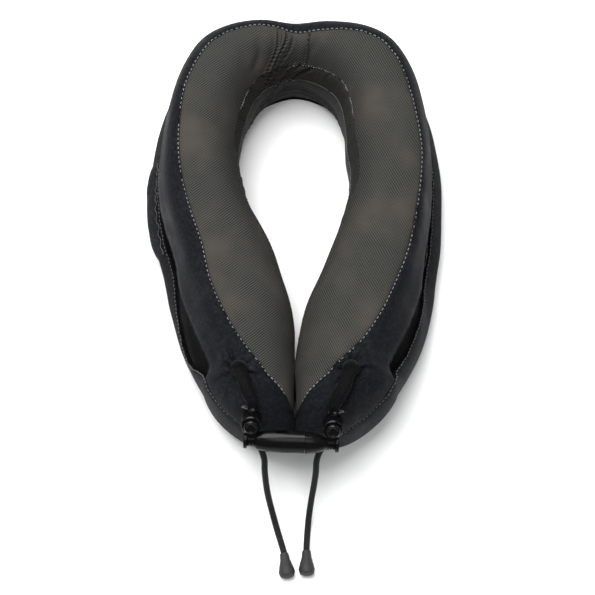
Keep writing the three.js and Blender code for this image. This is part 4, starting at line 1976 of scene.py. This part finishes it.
@dataclass
class FoamRing:
    """The padded ring: its cover, seams and foam.

    Attributes:
        cover: lays the panels.
        folds: creases at the centre of the back that the top panel and collar share.
        hole_folds: slack folds low in the neck hole.
        outer_stitch: the pale stitches between roll and top panel.
        inner_stitch: the finer ones between top panel and collar.
        collar_stitch: those between collar and inner mesh.
        back_stitch: the dark ones of the centre-back seam.
        edge_stitch: those along the lower band's edge.
        pocket_stitch: those round the pocket.
        pocket_swing: how far the pocket's upper row swings, and how soon it swings back.
        stitched_to: how far over the rounded ends the pale stitches run.
        foam_depth: how far the foam lies below the cover's surface.
        foam_gap: station where each half of the foam starts.
        foam_grid: rows of the foam along the ring and over its end, and points in a row.
        collar_end: station where the collar and inner mesh run out.
        shown_to: station up to which the inner seams' stitches run.
        ribs: directions of the twill's ribs on the left and right.
        tip: stations between which the pale stitches rise at the panel's point.
        tip_rise: how far they rise there.
        pocket_turn: angles of the pocket's two edges.
        zip_slot: the recess for the zip.
    """

    cover: Cover = field(default_factory=Cover)
    folds: tuple[Fold, ...] = (
        Fold(
            ((-0.6, 88), (-0.68, 104), (-0.79, 120), (-1.08, 136), (-1.5, 150), (-1.9, 162)),
            2.9, 0.8, 0.25,
        ),
        Fold(
            ((-0.28, 90), (-0.34, 104), (-0.47, 116), (-0.78, 132), (-1.15, 148), (-1.62, 168)),
            3.1, 0.85, 0.35,
        ),
        Fold(
            ((-0.05, 97), (-0.1, 110), (-0.28, 128), (-0.7, 146), (-1.2, 166), (-1.7, 184)),
            1.3, 0.9, 0.3,
        ),
        Fold(((0.32, 150), (-0.1, 157), (-0.62, 168), (-1.3, 186)), 2.2, 1.1, 0.5),
        Fold(((0.9, 153), (0.5, 160), (0.1, 168), (-0.35, 178)), 1.9, 1.1, 0.5),
        Fold(((-1.0, 153), (-1.35, 161), (-1.75, 170)), 1.5, 0.9, 0.4),
        Fold(((-1.45, 96), (-1.5, 112), (-1.75, 128), (-2.2, 140)), 0.8, 3.2),
        Fold(((0.95, 98), (0.8, 116), (0.62, 134), (0.6, 146)), 0.9, 2.4),
    )
    hole_folds: tuple[Fold, ...] = (
        Fold(((-3.4, 206), (-2.2, 196), (-0.8, 193), (0.6, 191), (2.0, 196), (3.2, 204)), 1.5, 1.3, 0.9),
        Fold(((-2.6, 214), (-1.0, 205), (0.5, 204), (1.6, 208), (2.8, 216)), 1.2, 1.2, 0.7),
        Fold(((-0.4, 186), (-1.2, 192), (-2.0, 202)), 1.2, 1.0, 0.6),
    )
    outer_stitch: Stitch = Stitch(PALE_THREAD, "keeper_thread", 3.6, 2.2, 0.36, 0.4)
    inner_stitch: Stitch = Stitch(PIPING_THREAD, "keeper_thread", 2.4, 1.8, 0.34, 0.3)
    collar_stitch: Stitch = Stitch(PIPING_THREAD, "keeper_thread", 2.4, 2.0, 0.3, 0.25)
    back_stitch: Stitch = Stitch(DARK_THREAD, "elastic_cord", 3.3, 2.2, 0.72, 1.0)
    stitched_to: float = 0.74
    foam_depth: float = 6.5
    foam_gap: float = 0.12
    edge_stitch: Stitch = Stitch(DULL_THREAD, "keeper_thread", 3.2, 2.0, 0.34, 0.3)
    pocket_stitch: Stitch = Stitch(DULL_THREAD, "keeper_thread", 2.0, 2.2, 0.3, 0.3)
    pocket_swing: tuple[float, float] = (0.9, 2.0)
    foam_grid: tuple[int, int, int] = (72, 12, 48)
    collar_end: float = 8.97
    shown_to: float = 7.6
    ribs: tuple[float, float] = (38.0, -62.0)
    tip: tuple[float, float] = (12.9, 13.4)
    tip_rise: float = 1.3
    pocket_turn: tuple[float, float] = (-50.0, -12.0)
    zip_slot: Slot = Slot(-64.0, (-53.0, 67.0), 6.2, 2.2, 2.65)

    def build(self) -> None:
        """Makes the cover, its seams and pocket, and the foam."""
        top = self._top_panel()
        collar = self._inner_panels()
        roll = self._side_roll()
        band = self._lower_parts()
        self._seams(top, collar, roll, band)
        self._pocket()
        for zone in LEGS:
            self._foam(zone)
        LOG.info("foam ring: cover, seams and foam")

    def _foam(self, zone: Zone) -> None:
        """Makes one half of the foam, inside the cover.

        Args:
            zone: which half.
        """
        side = zone.side
        rows, cap_rows, columns = self.foam_grid
        turn = np.linspace(0.1, math.radians(80), cap_rows)
        nose = LAST + np.sin(turn) ** self.cover.cap_power
        stations = side * np.concatenate([np.linspace(self.foam_gap, LAST, rows), nose])
        degrees = np.linspace(0, 360, columns, endpoint=False)
        around = np.broadcast_to(degrees, (len(stations), columns))
        grid = RING.points(stations, around, -self.foam_depth)
        clear = self.foam_depth * (np.abs(stations) > RING.leg_from)[:, None]
        grid[..., 0] = side * np.maximum(side * grid[..., 0], clear)
        faces = closed_faces(*grid.shape[:2])
        if zone is Zone.RIGHT:
            faces = [tuple(reversed(f)) for f in faces]
        points = grid.reshape(-1, 3)
        piece = Shape(points, faces, points).to_object(f"{zone.value}_foam", MEMORY_FOAM)
        HINGE.settle(piece, zone, "foam", f"{zone.value}_foam_core", fill=1.0)

    def _back_seam(self) -> Fold:
        """The valley of the centre-back seam."""
        return Fold(((0.56, 92), (0.56, 102), (0.54, 118), (0.51, 134), (0.48, 151)), 0.4, 1.0, 0.1)

    def _top_panel(self) -> Laid:
        """Lays the grey top panel.

        Returns:
            The laid panel.
        """
        reliefs = (
            Swell(0.55, 55.0, 3),
            SeamDip(1.5, 2.4, high=False),
            Pucker(0.28, 7.0, 6.5, 11),
            Pucker(0.25, 8.0, 5.5, 12, low=False),
            Mound((-26, 150, 100), 18, 1.4),
            *self.folds,
            self._back_seam(),
        )
        panel = Panel(
            "top_panel", GREY_TWILL, "twill", PATTERN.outer, PATTERN.inner, 96, reliefs,
            last=LAST + PATTERN.tip_end, ribs=self.ribs,
        )
        return self.cover.lay(panel)

    def _inner_panels(self) -> Laid:
        """Lays the grey collar and the black inner mesh in the neck hole.

        Returns:
            The laid collar.
        """
        wrinkles = (Swell(0.5, 30.0, 5), Pucker(0.5, 9.0, 14.0, 21), *self.folds)
        collar = Panel(
            "inner_collar", SHADED_COLLAR_TWILL, "twill", PATTERN.inner, PATTERN.middle, 22,
            (*wrinkles, SeamDip(0.9, 1.8)), last=self.collar_end, ribs=self.ribs,
        )
        mesh = Panel(
            "inner_mesh", BLACK_MESH, "black_mesh", PATTERN.middle, level(PATTERN.base_inner), 30,
            (*wrinkles, *self.hole_folds, Mound((0, 136, 15), 34, -3.0), SeamDip(0.9, 1.8)),
            last=self.collar_end,
        )
        laid = self.cover.lay(collar)
        self.cover.lay(mesh)
        return laid

    def _side_roll(self) -> Laid:
        """Lays the navy roll round the outside, drawn in at the two eyelets.

        Returns:
            The laid roll.
        """
        gathers = []
        for zone, (x, y, z) in EYELETS.items():
            out = zone.side
            gathers += [
                Gather((x, y, z), 13, 3.2, 3.0, 15.0, 31 if zone is Zone.LEFT else 32),
                Mound((x, y, z), 6.5, -2.2),
                Mound((x + out * 10, y + 8, z - 1), 7.0, 3.0),
                Mound((x - out * 9, y + 5, z), 5.0, 1.2),
                Mound((x - out * 10, y - 7, z), 8.0, 0.9),
            ]
        reliefs = (
            Swell(0.7, 60.0, 4),
            SeamDip(1.4, 2.4),
            Pucker(0.3, 8.0, 6.0, 14),
            Pucker(0.34, 9.0, 7.0, 13, low=False),
            Fold(((-13.15, 60), (-13.3, 75), (-13.5, 96)), 0.8, 3.2),
            Fold(((13.1, 56), (13.3, 74), (13.5, 100)), 0.8, 3.2),
            Mound((-26, 166, 84), 20, 1.6),
            *gathers,
        )
        panel = Panel(
            "side_roll", NAVY_JERSEY, "navy", PATTERN.channel_top, PATTERN.outer, 52, reliefs,
            last=LAST + self.cover.last_share, hem=3.0,
        )
        return self.cover.lay(panel)

    def _lower_parts(self) -> Laid:
        """Lays the lower band, the mesh in the channel and the flat underside.

        Returns:
            The laid lower band.
        """
        reliefs = (Swell(0.6, 45.0, 6), SeamDip(1.1, 2.0), Pucker(0.35, 9.0, 6.0, 15, low=False))
        band = Panel(
            "lower_band", BAND_JERSEY, "navy", level(PATTERN.base_outer), PATTERN.channel_bottom, 26,
            reliefs, last=LAST + self.cover.last_share, hem=3.0,
        )
        gusset = Panel(
            "vent_gusset", CHANNEL_MESH, "black_mesh", lambda s: PATTERN.channel_bottom(s) - 2.0,
            lambda s: PATTERN.channel_top(s) + 2.0, 14, (Swell(0.3, 20.0, 8),),
            lift=-3.6, first=2.0, last=12.88, hem=0.5, sides=LEGS,
        )
        base = Panel(
            "base_panel", BASE_WEAVE, "base_fabric", level(PATTERN.base_inner),
            level(360.0 + PATTERN.base_outer), 84, (SeamDip(0.6, 1.5), self.zip_slot),
            last=LAST + self.cover.last_share, hem=1.0,
        )
        laid = self.cover.lay(band)
        self.cover.lay(gusset)
        self.cover.lay(base)
        return laid

    def _pocket(self) -> None:
        """Lays the side pocket on the left of the lower band and sews its edges."""
        pocket = Panel(
            "side_pocket", POCKET_JERSEY, "navy", *map(level, self.pocket_turn), 26,
            (Pouch(2.6), Swell(0.25, 18.0, 9)),
            lift=0.4, first=5.9, last=8.4, hem=1.6, sides=(Zone.LEFT,),
        )
        laid = self.cover.lay(pocket)
        line, normals = laid.edge(Zone.LEFT, True)
        swung = swerved(line, normals, *self.pocket_swing)
        self.pocket_stitch.sew("pocket_top_stitches", Zone.LEFT, swung, normals)
        self.pocket_stitch.sew("pocket_bottom_stitches", Zone.LEFT, *laid.edge(Zone.LEFT, False))

    def _seams(self, top: Laid, collar: Laid, roll: Laid, band: Laid) -> None:
        """Sews the seams and rolls the channel's edges.

        Args:
            top: the laid top panel.
            collar: the laid collar.
            roll: the laid side roll.
            band: the laid lower band.
        """
        welt = Welt(NAVY_JERSEY, "navy")
        piping = Welt(DULL_THREAD, "keeper_thread", 0.4, 0.0)
        for zone in Zone:
            stations = np.abs(top.stations[zone])
            line, normals = top.edge(zone, False)
            line = line + np.array([0.0, 0.0, self.tip_rise]) * smooth(stations, *self.tip)[:, None]
            reach = stations <= LAST + self.stitched_to
            self.outer_stitch.sew("outer_stitches", zone, line[reach], normals[reach])
            shown = np.abs(collar.stations[zone]) <= self.shown_to
            line, normals = (values[shown] for values in collar.edge(zone, False))
            piping.roll("inner_piping", zone, line, normals)
            self.inner_stitch.sew("inner_stitches", zone, line, normals)
            line, normals = (values[shown] for values in collar.edge(zone, True))
            self.collar_stitch.sew("collar_stitches", zone, line, normals)
            welt.roll("roll_welt", zone, *roll.edge(zone, False))
            self.edge_stitch.sew("band_stitches", zone, *band.edge(zone, True))
        seam = self._back_seam().line()
        self.back_stitch.sew("centre_back_stitches", Zone.BACK, *self._on_panel(top, seam))

    @staticmethod
    def _on_panel(laid: Laid, line: Array) -> tuple[Array, Array]:
        """The panel's own points and normals nearest to a line across the back.

        Args:
            laid: the laid panel.
            line: the line.

        Returns:
            The points and normals.
        """
        points = laid.points[Zone.BACK].reshape(-1, 3)
        normals = laid.normals[Zone.BACK].reshape(-1, 3)
        nearest = [int(np.argmin(np.linalg.norm(points - p, axis=1))) for p in line]
        return points[nearest], normals[nearest]


def swerved(line: Array, normals: Array, reach: float, pitch: float) -> Array:
    """A line that swings from side to side over the cloth.

    Args:
        line: the line's points.
        normals: the cloth's normals there.
        reach: how far it swings.
        pitch: how soon it swings back.

    Returns:
        The new points.
    """
    along = unit(np.gradient(line, axis=0))
    side = unit(np.cross(along, normals))
    swing = reach * np.sin(distances(line) * math.tau / pitch)
    return line + side * swing[:, None]


# ---- pieces that come from the CAD ----


def dress(node: str, finish: Finish, bevel: float = 0.0) -> None:
    """Gives a CAD node a better finish and softer edges.

    Args:
        node: the node's name.
        finish: its finish.
        bevel: width of its rounded edges in millimetres, or 0 for none.
    """
    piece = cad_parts[node]
    for slot in piece.material_slots:
        slot.material = finish.material()
    if not piece.material_slots:
        piece.data.materials.append(finish.material())
    piece.data.polygons.foreach_set("use_smooth", [True] * len(piece.data.polygons))
    if bevel > 0:
        weld = piece.modifiers.new("weld", "WELD")
        weld.merge_threshold = WELD_GAP * MM
        edge = piece.modifiers.new("edge", "BEVEL")
        edge.width = bevel * MM
        edge.segments = 2
        edge.limit_method = "ANGLE"
        edge.angle_limit = math.radians(SHARP_EDGE)
    even = piece.modifiers.new("even", "WEIGHTED_NORMAL")
    even.keep_sharp = False


@dataclass(frozen=True)
class ClaspFrame:
    """The clasp's own frame: x along the barrel, y up the clasp and z out of its face.

    Attributes:
        centre: its origin.
        tilt: how far it is turned to one side, in degrees.
        lean: how far it leans back, in degrees.
    """

    centre: tuple[float, float, float] = (-2.6, -164.7, 73.4)
    tilt: float = 3.0
    lean: float = 45.0

    def out(self, x: float, y: float, z: float) -> Array:
        """A point of the clasp's frame in the ring's frame.

        Args:
            x: along the barrel.
            y: up the clasp.
            z: out of its face.

        Returns:
            The point.
        """
        lean = Matrix.Rotation(math.radians(90 - self.lean), 4, "X")
        tilt = Matrix.Rotation(math.radians(-self.tilt), 4, "Z")
        return np.array(lean @ tilt @ Vector((x, y, z))) + np.array(self.centre)


CLASP = ClaspFrame()
# In the clasp's frame: each lock's middle, the sleeve's end above it, and the cord's depth.
LOCK_X = 29.0
SLEEVE_END = 21.7
CORD_DEPTH = -5.9


@dataclass(frozen=True)
class Clasp:
    """The barrel clasp with its cord locks, all hard pieces from the CAD.

    Attributes:
        hard: the barrel's two halves.
        arms: the latch arms.
        edge: how far the halves' edges are rounded.
        fine_edge: the same on the arms.
        small_edge: and on the locks' pieces.
    """

    hard: tuple[str, ...] = ("clasp_socket", "clasp_plug")
    arms: tuple[str, ...] = ("upper_latch_arm", "lower_latch_arm")
    edge: float = 0.25
    fine_edge: float = 0.1
    small_edge: float = 0.2

    def build(self) -> None:
        """Dresses the clasp's nodes."""
        for node in self.hard:
            dress(node, BLACK_ACETAL, self.edge)
        for node in self.arms:
            dress(node, BLACK_ACETAL, self.fine_edge)
        for side in ("left", "right"):
            dress(f"{side}_lock_button", BUTTON_ACETAL, self.small_edge)
            dress(f"{side}_lock_spring", SPRING_STEEL)
            dress(f"{side}_cord_eyelet", EYELET_RUBBER, self.small_edge)
            dress(f"{side}_cord_end", SOFT_RUBBER, self.small_edge)
        LOG.info("clasp")


@dataclass(frozen=True)
class Sleeve:
    """The folded fabric sleeve that holds a cord from the shoulder to its lock, with its keeper loop.

    Attributes:
        top: half its width and half its thickness at the shoulder.
        bottom: the same at the lock.
        flare: how much wider it spreads where it is sewn into the shoulder.
        keeper_at: where the keeper lies along it.
        keeper: the thread loop's half width, half height and thread radius.
        slack: how far its slack loop stands out, as a part of the half width.
        coil: how many turns it takes, and how far apart.
        bends: points of its line as steps inwards, forwards and up from the eyelet.
        ends: its last points as steps up and out from its end at the lock.
    """

    top: tuple[float, float] = (5.0, 2.5)
    bottom: tuple[float, float] = (4.4, 2.7)
    flare: float = 2.0
    keeper_at: float = 0.95
    keeper: tuple[float, float, float] = (4.0, 2.5, 0.26)
    slack: float = 0.8
    coil: tuple[float, float] = (2.0, 1.1)
    bends: tuple[tuple[float, float, float], ...] = (
        (0, 0, 0.6), (0.9, 2.6, 3.9), (2.9, 8.5, 6.2), (5.2, 16, 6.9)
    )
    ends: tuple[tuple[float, float], ...] = ((5, 0.2), (0, 0))

    def line(self, zone: Zone) -> Array:
        """The sleeve's centreline.

        Args:
            zone: which side.

        Returns:
            The line's points.
        """
        x, y, z = EYELETS[zone]
        points = [(x - zone.side * a, y - b, z + c) for a, b, c in self.bends]
        for up, out in self.ends:
            points.append(CLASP.out(zone.side * LOCK_X, SLEEVE_END + up, CORD_DEPTH + out))
        return smooth_line(np.array(points, float), 16)

    def build(self, zone: Zone) -> None:
        """Makes the sleeve and its keeper on one side.

        Args:
            zone: which side.
        """
        line = self.line(zone)
        share = np.linspace(0, 1, len(line))
        spread = self.flare * np.exp(-distances(line) / 2.2)
        wide = self.top[0] + (self.bottom[0] - self.top[0]) * share + spread
        thick = self.top[1] + (self.bottom[1] - self.top[1]) * share + spread
        tube = Tube(line, wide, thick, 40, (1.0, 0.0, 0.0), self._creases)
        shape = tube.shape()
        shape.weave[:, 1] *= 22.0
        piece = shape.to_object(f"{zone.value}_sleeve", SLEEVE_JERSEY)
        HINGE.settle(piece, zone, "sleeve_fabric", f"{zone.value}_cord_sleeve", fill=0.7)
        self._keeper(zone, line)

    @staticmethod
    def _creases(along: Array, turn: Array) -> Array:
        """Lengthwise creases that slant slowly round the sleeve, and its folded edge.

        Args:
            along: distance along it.
            turn: turn round it.

        Returns:
            What the radius is multiplied by.
        """
        crease = 0.06 * np.sin(math.tau * (5 * turn + along / 60))
        crease = crease + 0.035 * np.sin(math.tau * (9 * turn - along / 34))
        rings = 0.03 * np.sin(math.tau * along / 4.3 + 2.0 * np.sin(math.tau * turn))
        return 1.0 + crease + rings

    def _keeper(self, zone: Zone, line: Array) -> None:
        """Makes the loop of pale thread round the sleeve, with a slack loop that stands out.

        Args:
            zone: which side.
            line: the sleeve's centreline.
        """
        at = round(self.keeper_at * (len(line) - 1))
        along = unit(line[at + 1] - line[at - 1])
        level = np.array([1.0, 0.0, 0.0])
        wide = unit(level - along * np.dot(level, along))
        thick = np.cross(along, wide)
        half_wide, half_thick, radius = self.keeper
        turns, gap = self.coil
        points = []
        for k in np.linspace(0, turns, 56):
            slack = 1.0 + self.slack * max(0.0, math.cos(math.tau * k)) ** 3 * (k > 0.5)
            a = wide * zone.side * half_wide * math.cos(math.tau * k) * slack
            b = thick * half_thick * math.sin(math.tau * k)
            points.append(line[at] + a + b + along * (k - turns / 2) * gap)
        tube = Tube(np.array(points), radius, sides=8)
        piece = tube.shape().to_object(f"{zone.value}_keeper_loop", LOOP_THREAD)
        HINGE.settle(piece, zone, "keeper_thread", f"{zone.value}_keeper")


@dataclass(frozen=True)
class ElasticCord:
    """One elastic cord from its sleeve through its lock, down behind the clasp and out onto the surface.

    Attributes:
        zone: which side it is on.
        tail: its route past the clasp.
        length: its real length; not used.
        radius: its radius.
        start: where it starts in the sleeve, up the clasp.
        lock_y: the middle of its lock, up the clasp.
    """

    zone: Zone
    tail: tuple[tuple[float, float, float], ...]
    length: float
    radius: float = 2.3
    start: float = 23.7
    lock_y: float = 13.6

    def route(self) -> Array:
        """The points that the cord passes through.

        Returns:
            The points.
        """
        held = [
            (LOCK_X, self.start, CORD_DEPTH),
            (LOCK_X, self.lock_y + 4, CORD_DEPTH),
            (LOCK_X, self.lock_y - 4, CORD_DEPTH),
            (LOCK_X - 0.3, 5, CORD_DEPTH - 0.5),
            (LOCK_X - 2.4, 0, CORD_DEPTH - 2.2),
            (LOCK_X - 5.4, -6, CORD_DEPTH - 3),
            (LOCK_X - 8.2, -12, CORD_DEPTH - 3),
        ]
        return np.vstack([[CLASP.out(self.zone.side * x, y, z) for x, y, z in held], self.tail])

    def build(self) -> None:
        """Makes the cord."""
        name = self.zone.value
        line = smooth_line(self.route(), 6)
        piece = Tube(line, self.radius, sides=16).shape().to_object(f"{name}_elastic_cord", CORD_BRAID)
        HINGE.settle(piece, self.zone, "elastic_cord", f"{name}_cord")
        LOG.info("%s cord: %.1f mm along its middle", name, distances(line)[-1])


LEFT_TAIL = (
    (-22, -171.5, 54), (-21.8, -177.5, 46.5), (-21.2, -182.5, 38.5), (-20.4, -187, 30), (-19.2, -191.2, 21.5),
    (-17.6, -196, 13.5), (-15.6, -202.2, 6.8), (-13.2, -210, 3.2), (-10.8, -218, 2.6), (-9, -224, 3.2),
    (-8, -228, 4.4),
)
RIGHT_TAIL = (
    (15.6, -172.5, 53), (15.1, -178.5, 45.5), (14.2, -183.5, 37.5), (13.1, -188, 29), (12, -192.2, 20.5),
    (11, -197, 12.5), (10, -203, 6.2), (9.3, -210, 3.1), (8.8, -217, 2.6), (8.5, -222, 3.2), (8.4, -226, 4.4),
)


@dataclass(frozen=True)
class Zip:
    """The zip in the underside: woven tape, coil, and the slider and pull from the CAD.

    Attributes:
        turn: pitch of the coil.
        wire: its wire's radius.
        half_gap: from the middle to each half of the coil.
    """

    turn: float = 1.5
    wire: float = 0.28
    half_gap: float = 1.15

    def build(self) -> None:
        """Makes the tape and the coil, and dresses the slider and pull."""
        self._tape()
        self._coil()
        dress("zip_slider", LACQUERED_ZINC, 0.12)
        dress("zip_pull", LACQUERED_ZINC, 0.12)
        LOG.info("zip")

    @staticmethod
    def _box(node: str) -> tuple[Array, Array]:
        """A CAD node's corners in millimetres."""
        low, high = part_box(node)
        return np.array(low) / MM, np.array(high) / MM

    def _tape(self) -> None:
        """Makes the woven tape, with a rounded selvedge on both sides."""
        low, high = self._box("zip_tape")
        middle = (low + high) / 2
        rows = np.linspace(low[1], high[1], 60)
        line = np.stack([np.full_like(rows, middle[0]), rows, np.full_like(rows, middle[2])], axis=1)
        half_wide, half_thick = (high[0] - low[0]) / 2, (high[2] - low[2]) / 2
        shape = Tube(line, half_wide, half_thick, 24, (1.0, 0.0, 0.0)).shape()
        shape.weave[:, 1] = shape.points[:, 0]
        piece = shape.to_object("zip_tape_weave", ZIP_WEAVE)
        HINGE.settle(piece, Zone.LEFT, "base_fabric", "zip_tape")

    def _coil(self) -> None:
        """Makes the two interlocked rows of the coil."""
        low, high = self._box("zip_coil")
        middle = (low + high) / 2
        half_thick = (high[2] - low[2]) / 2 - self.wire
        count = int((high[1] - low[1]) / self.turn)
        k = np.linspace(0, count, count * 9)
        shape = None
        for side in (-1.0, 1.0):
            angle = math.tau * k + (0.0 if side > 0 else math.pi)
            x = middle[0] + side * self.half_gap + self.half_gap * 0.8 * np.cos(angle)
            y = low[1] + self.wire + k * (high[1] - low[1] - 2 * self.wire) / count
            z = middle[2] + half_thick * np.sin(angle)
            row = Tube(np.stack([x, y, z], axis=1), self.wire, sides=6).shape()
            shape = row if shape is None else shape.joined(row)
        piece = shape.to_object("zip_coil_rows", BUTTON_ACETAL)
        HINGE.settle(piece, Zone.LEFT, "soft_plastic", "zip_coil")


# ---- studio ----


@dataclass(frozen=True)
class Lamp:
    """A soft square lamp.

    Attributes:
        name: its name.
        place: where it is, in metres.
        size: its side.
        watts: its power.
        target: what it faces.
    """

    name: str
    place: tuple[float, float, float]
    size: float
    watts: float
    target: tuple[float, float, float] = (0.0, 0.0, 0.05)

    def build(self) -> None:
        """Makes the lamp."""
        data = bpy.data.lights.new(self.name, "AREA")
        data.size = self.size
        data.energy = self.watts
        lamp = placed(self.name, data)
        lamp.location = self.place
        facing = Vector(self.target) - Vector(self.place)
        lamp.rotation_euler = facing.to_track_quat("-Z", "Y").to_euler()


@dataclass(frozen=True)
class Studio:
    """Camera, lights and floor.

    Attributes:
        place: the camera's place in metres.
        elevation: its angle above the horizon.
        lens: its focal length.
        floor_size: side of the floor.
        fill: brightness of the surroundings.
        tint: their colour.
        lamps: the lamps.
    """

    place: tuple[float, float, float] = (0.001875, -0.577463, 1.435050)
    elevation: float = 69.0
    lens: float = 121.0
    floor_size: float = 12.0
    fill: float = 0.28
    tint: Colour = (0.96, 0.98, 1.0)
    lamps: tuple[Lamp, ...] = (
        Lamp("overhead", (-0.3, 0.32, 1.75), 1.3, 62.0),
        Lamp("left_side", (-1.5, 0.3, 1.1), 0.7, 3.0),
        Lamp("right_side", (1.5, 0.2, 1.1), 0.7, 2.0),
        Lamp("front", (0.2, -1.0, 2.1), 1.0, 12.0),
    )

    def camera(self) -> None:
        """Makes the camera."""
        data = bpy.data.cameras.new("camera")
        data.lens = self.lens
        eye = placed("camera", data)
        eye.location = self.place
        eye.rotation_euler = (math.radians(90 - self.elevation), 0.0, 0.0)
        bpy.context.scene.camera = eye

    def light(self) -> None:
        """Makes the lamps, the surroundings and the floor."""
        for lamp in self.lamps:
            lamp.build()
        world = bpy.data.worlds.new("surroundings")
        world.use_nodes = True
        background = world.node_tree.nodes["Background"]
        background.inputs["Color"].default_value = (*self.tint, 1.0)
        background.inputs["Strength"].default_value = self.fill
        bpy.context.scene.world = world
        bpy.context.scene.view_settings.view_transform = "Standard"
        half = self.floor_size / 2
        corners = np.array([(-half, -half, 0), (half, -half, 0), (half, half, 0), (-half, half, 0)]) / MM
        shape = Shape(corners, [(0, 1, 2, 3)], np.zeros((4, 3)))
        shape.to_object("floor", STUDIO_FLOOR)
        LOG.info("studio")


def main() -> None:
    """Builds the neck support and its studio."""
    logging.basicConfig(level=logging.INFO, format="%(name)s: %(message)s")
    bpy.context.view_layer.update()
    studio = Studio()
    studio.camera()
    ElasticCord(Zone.LEFT, LEFT_TAIL, 131.0).build()
    ElasticCord(Zone.RIGHT, RIGHT_TAIL, 125.5).build()
    FoamRing().build()
    for zone in LEGS:
        Sleeve().build(zone)
    Clasp().build()
    Zip().build()
    studio.light()
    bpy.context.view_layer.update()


if __name__ == "__main__":
    main()
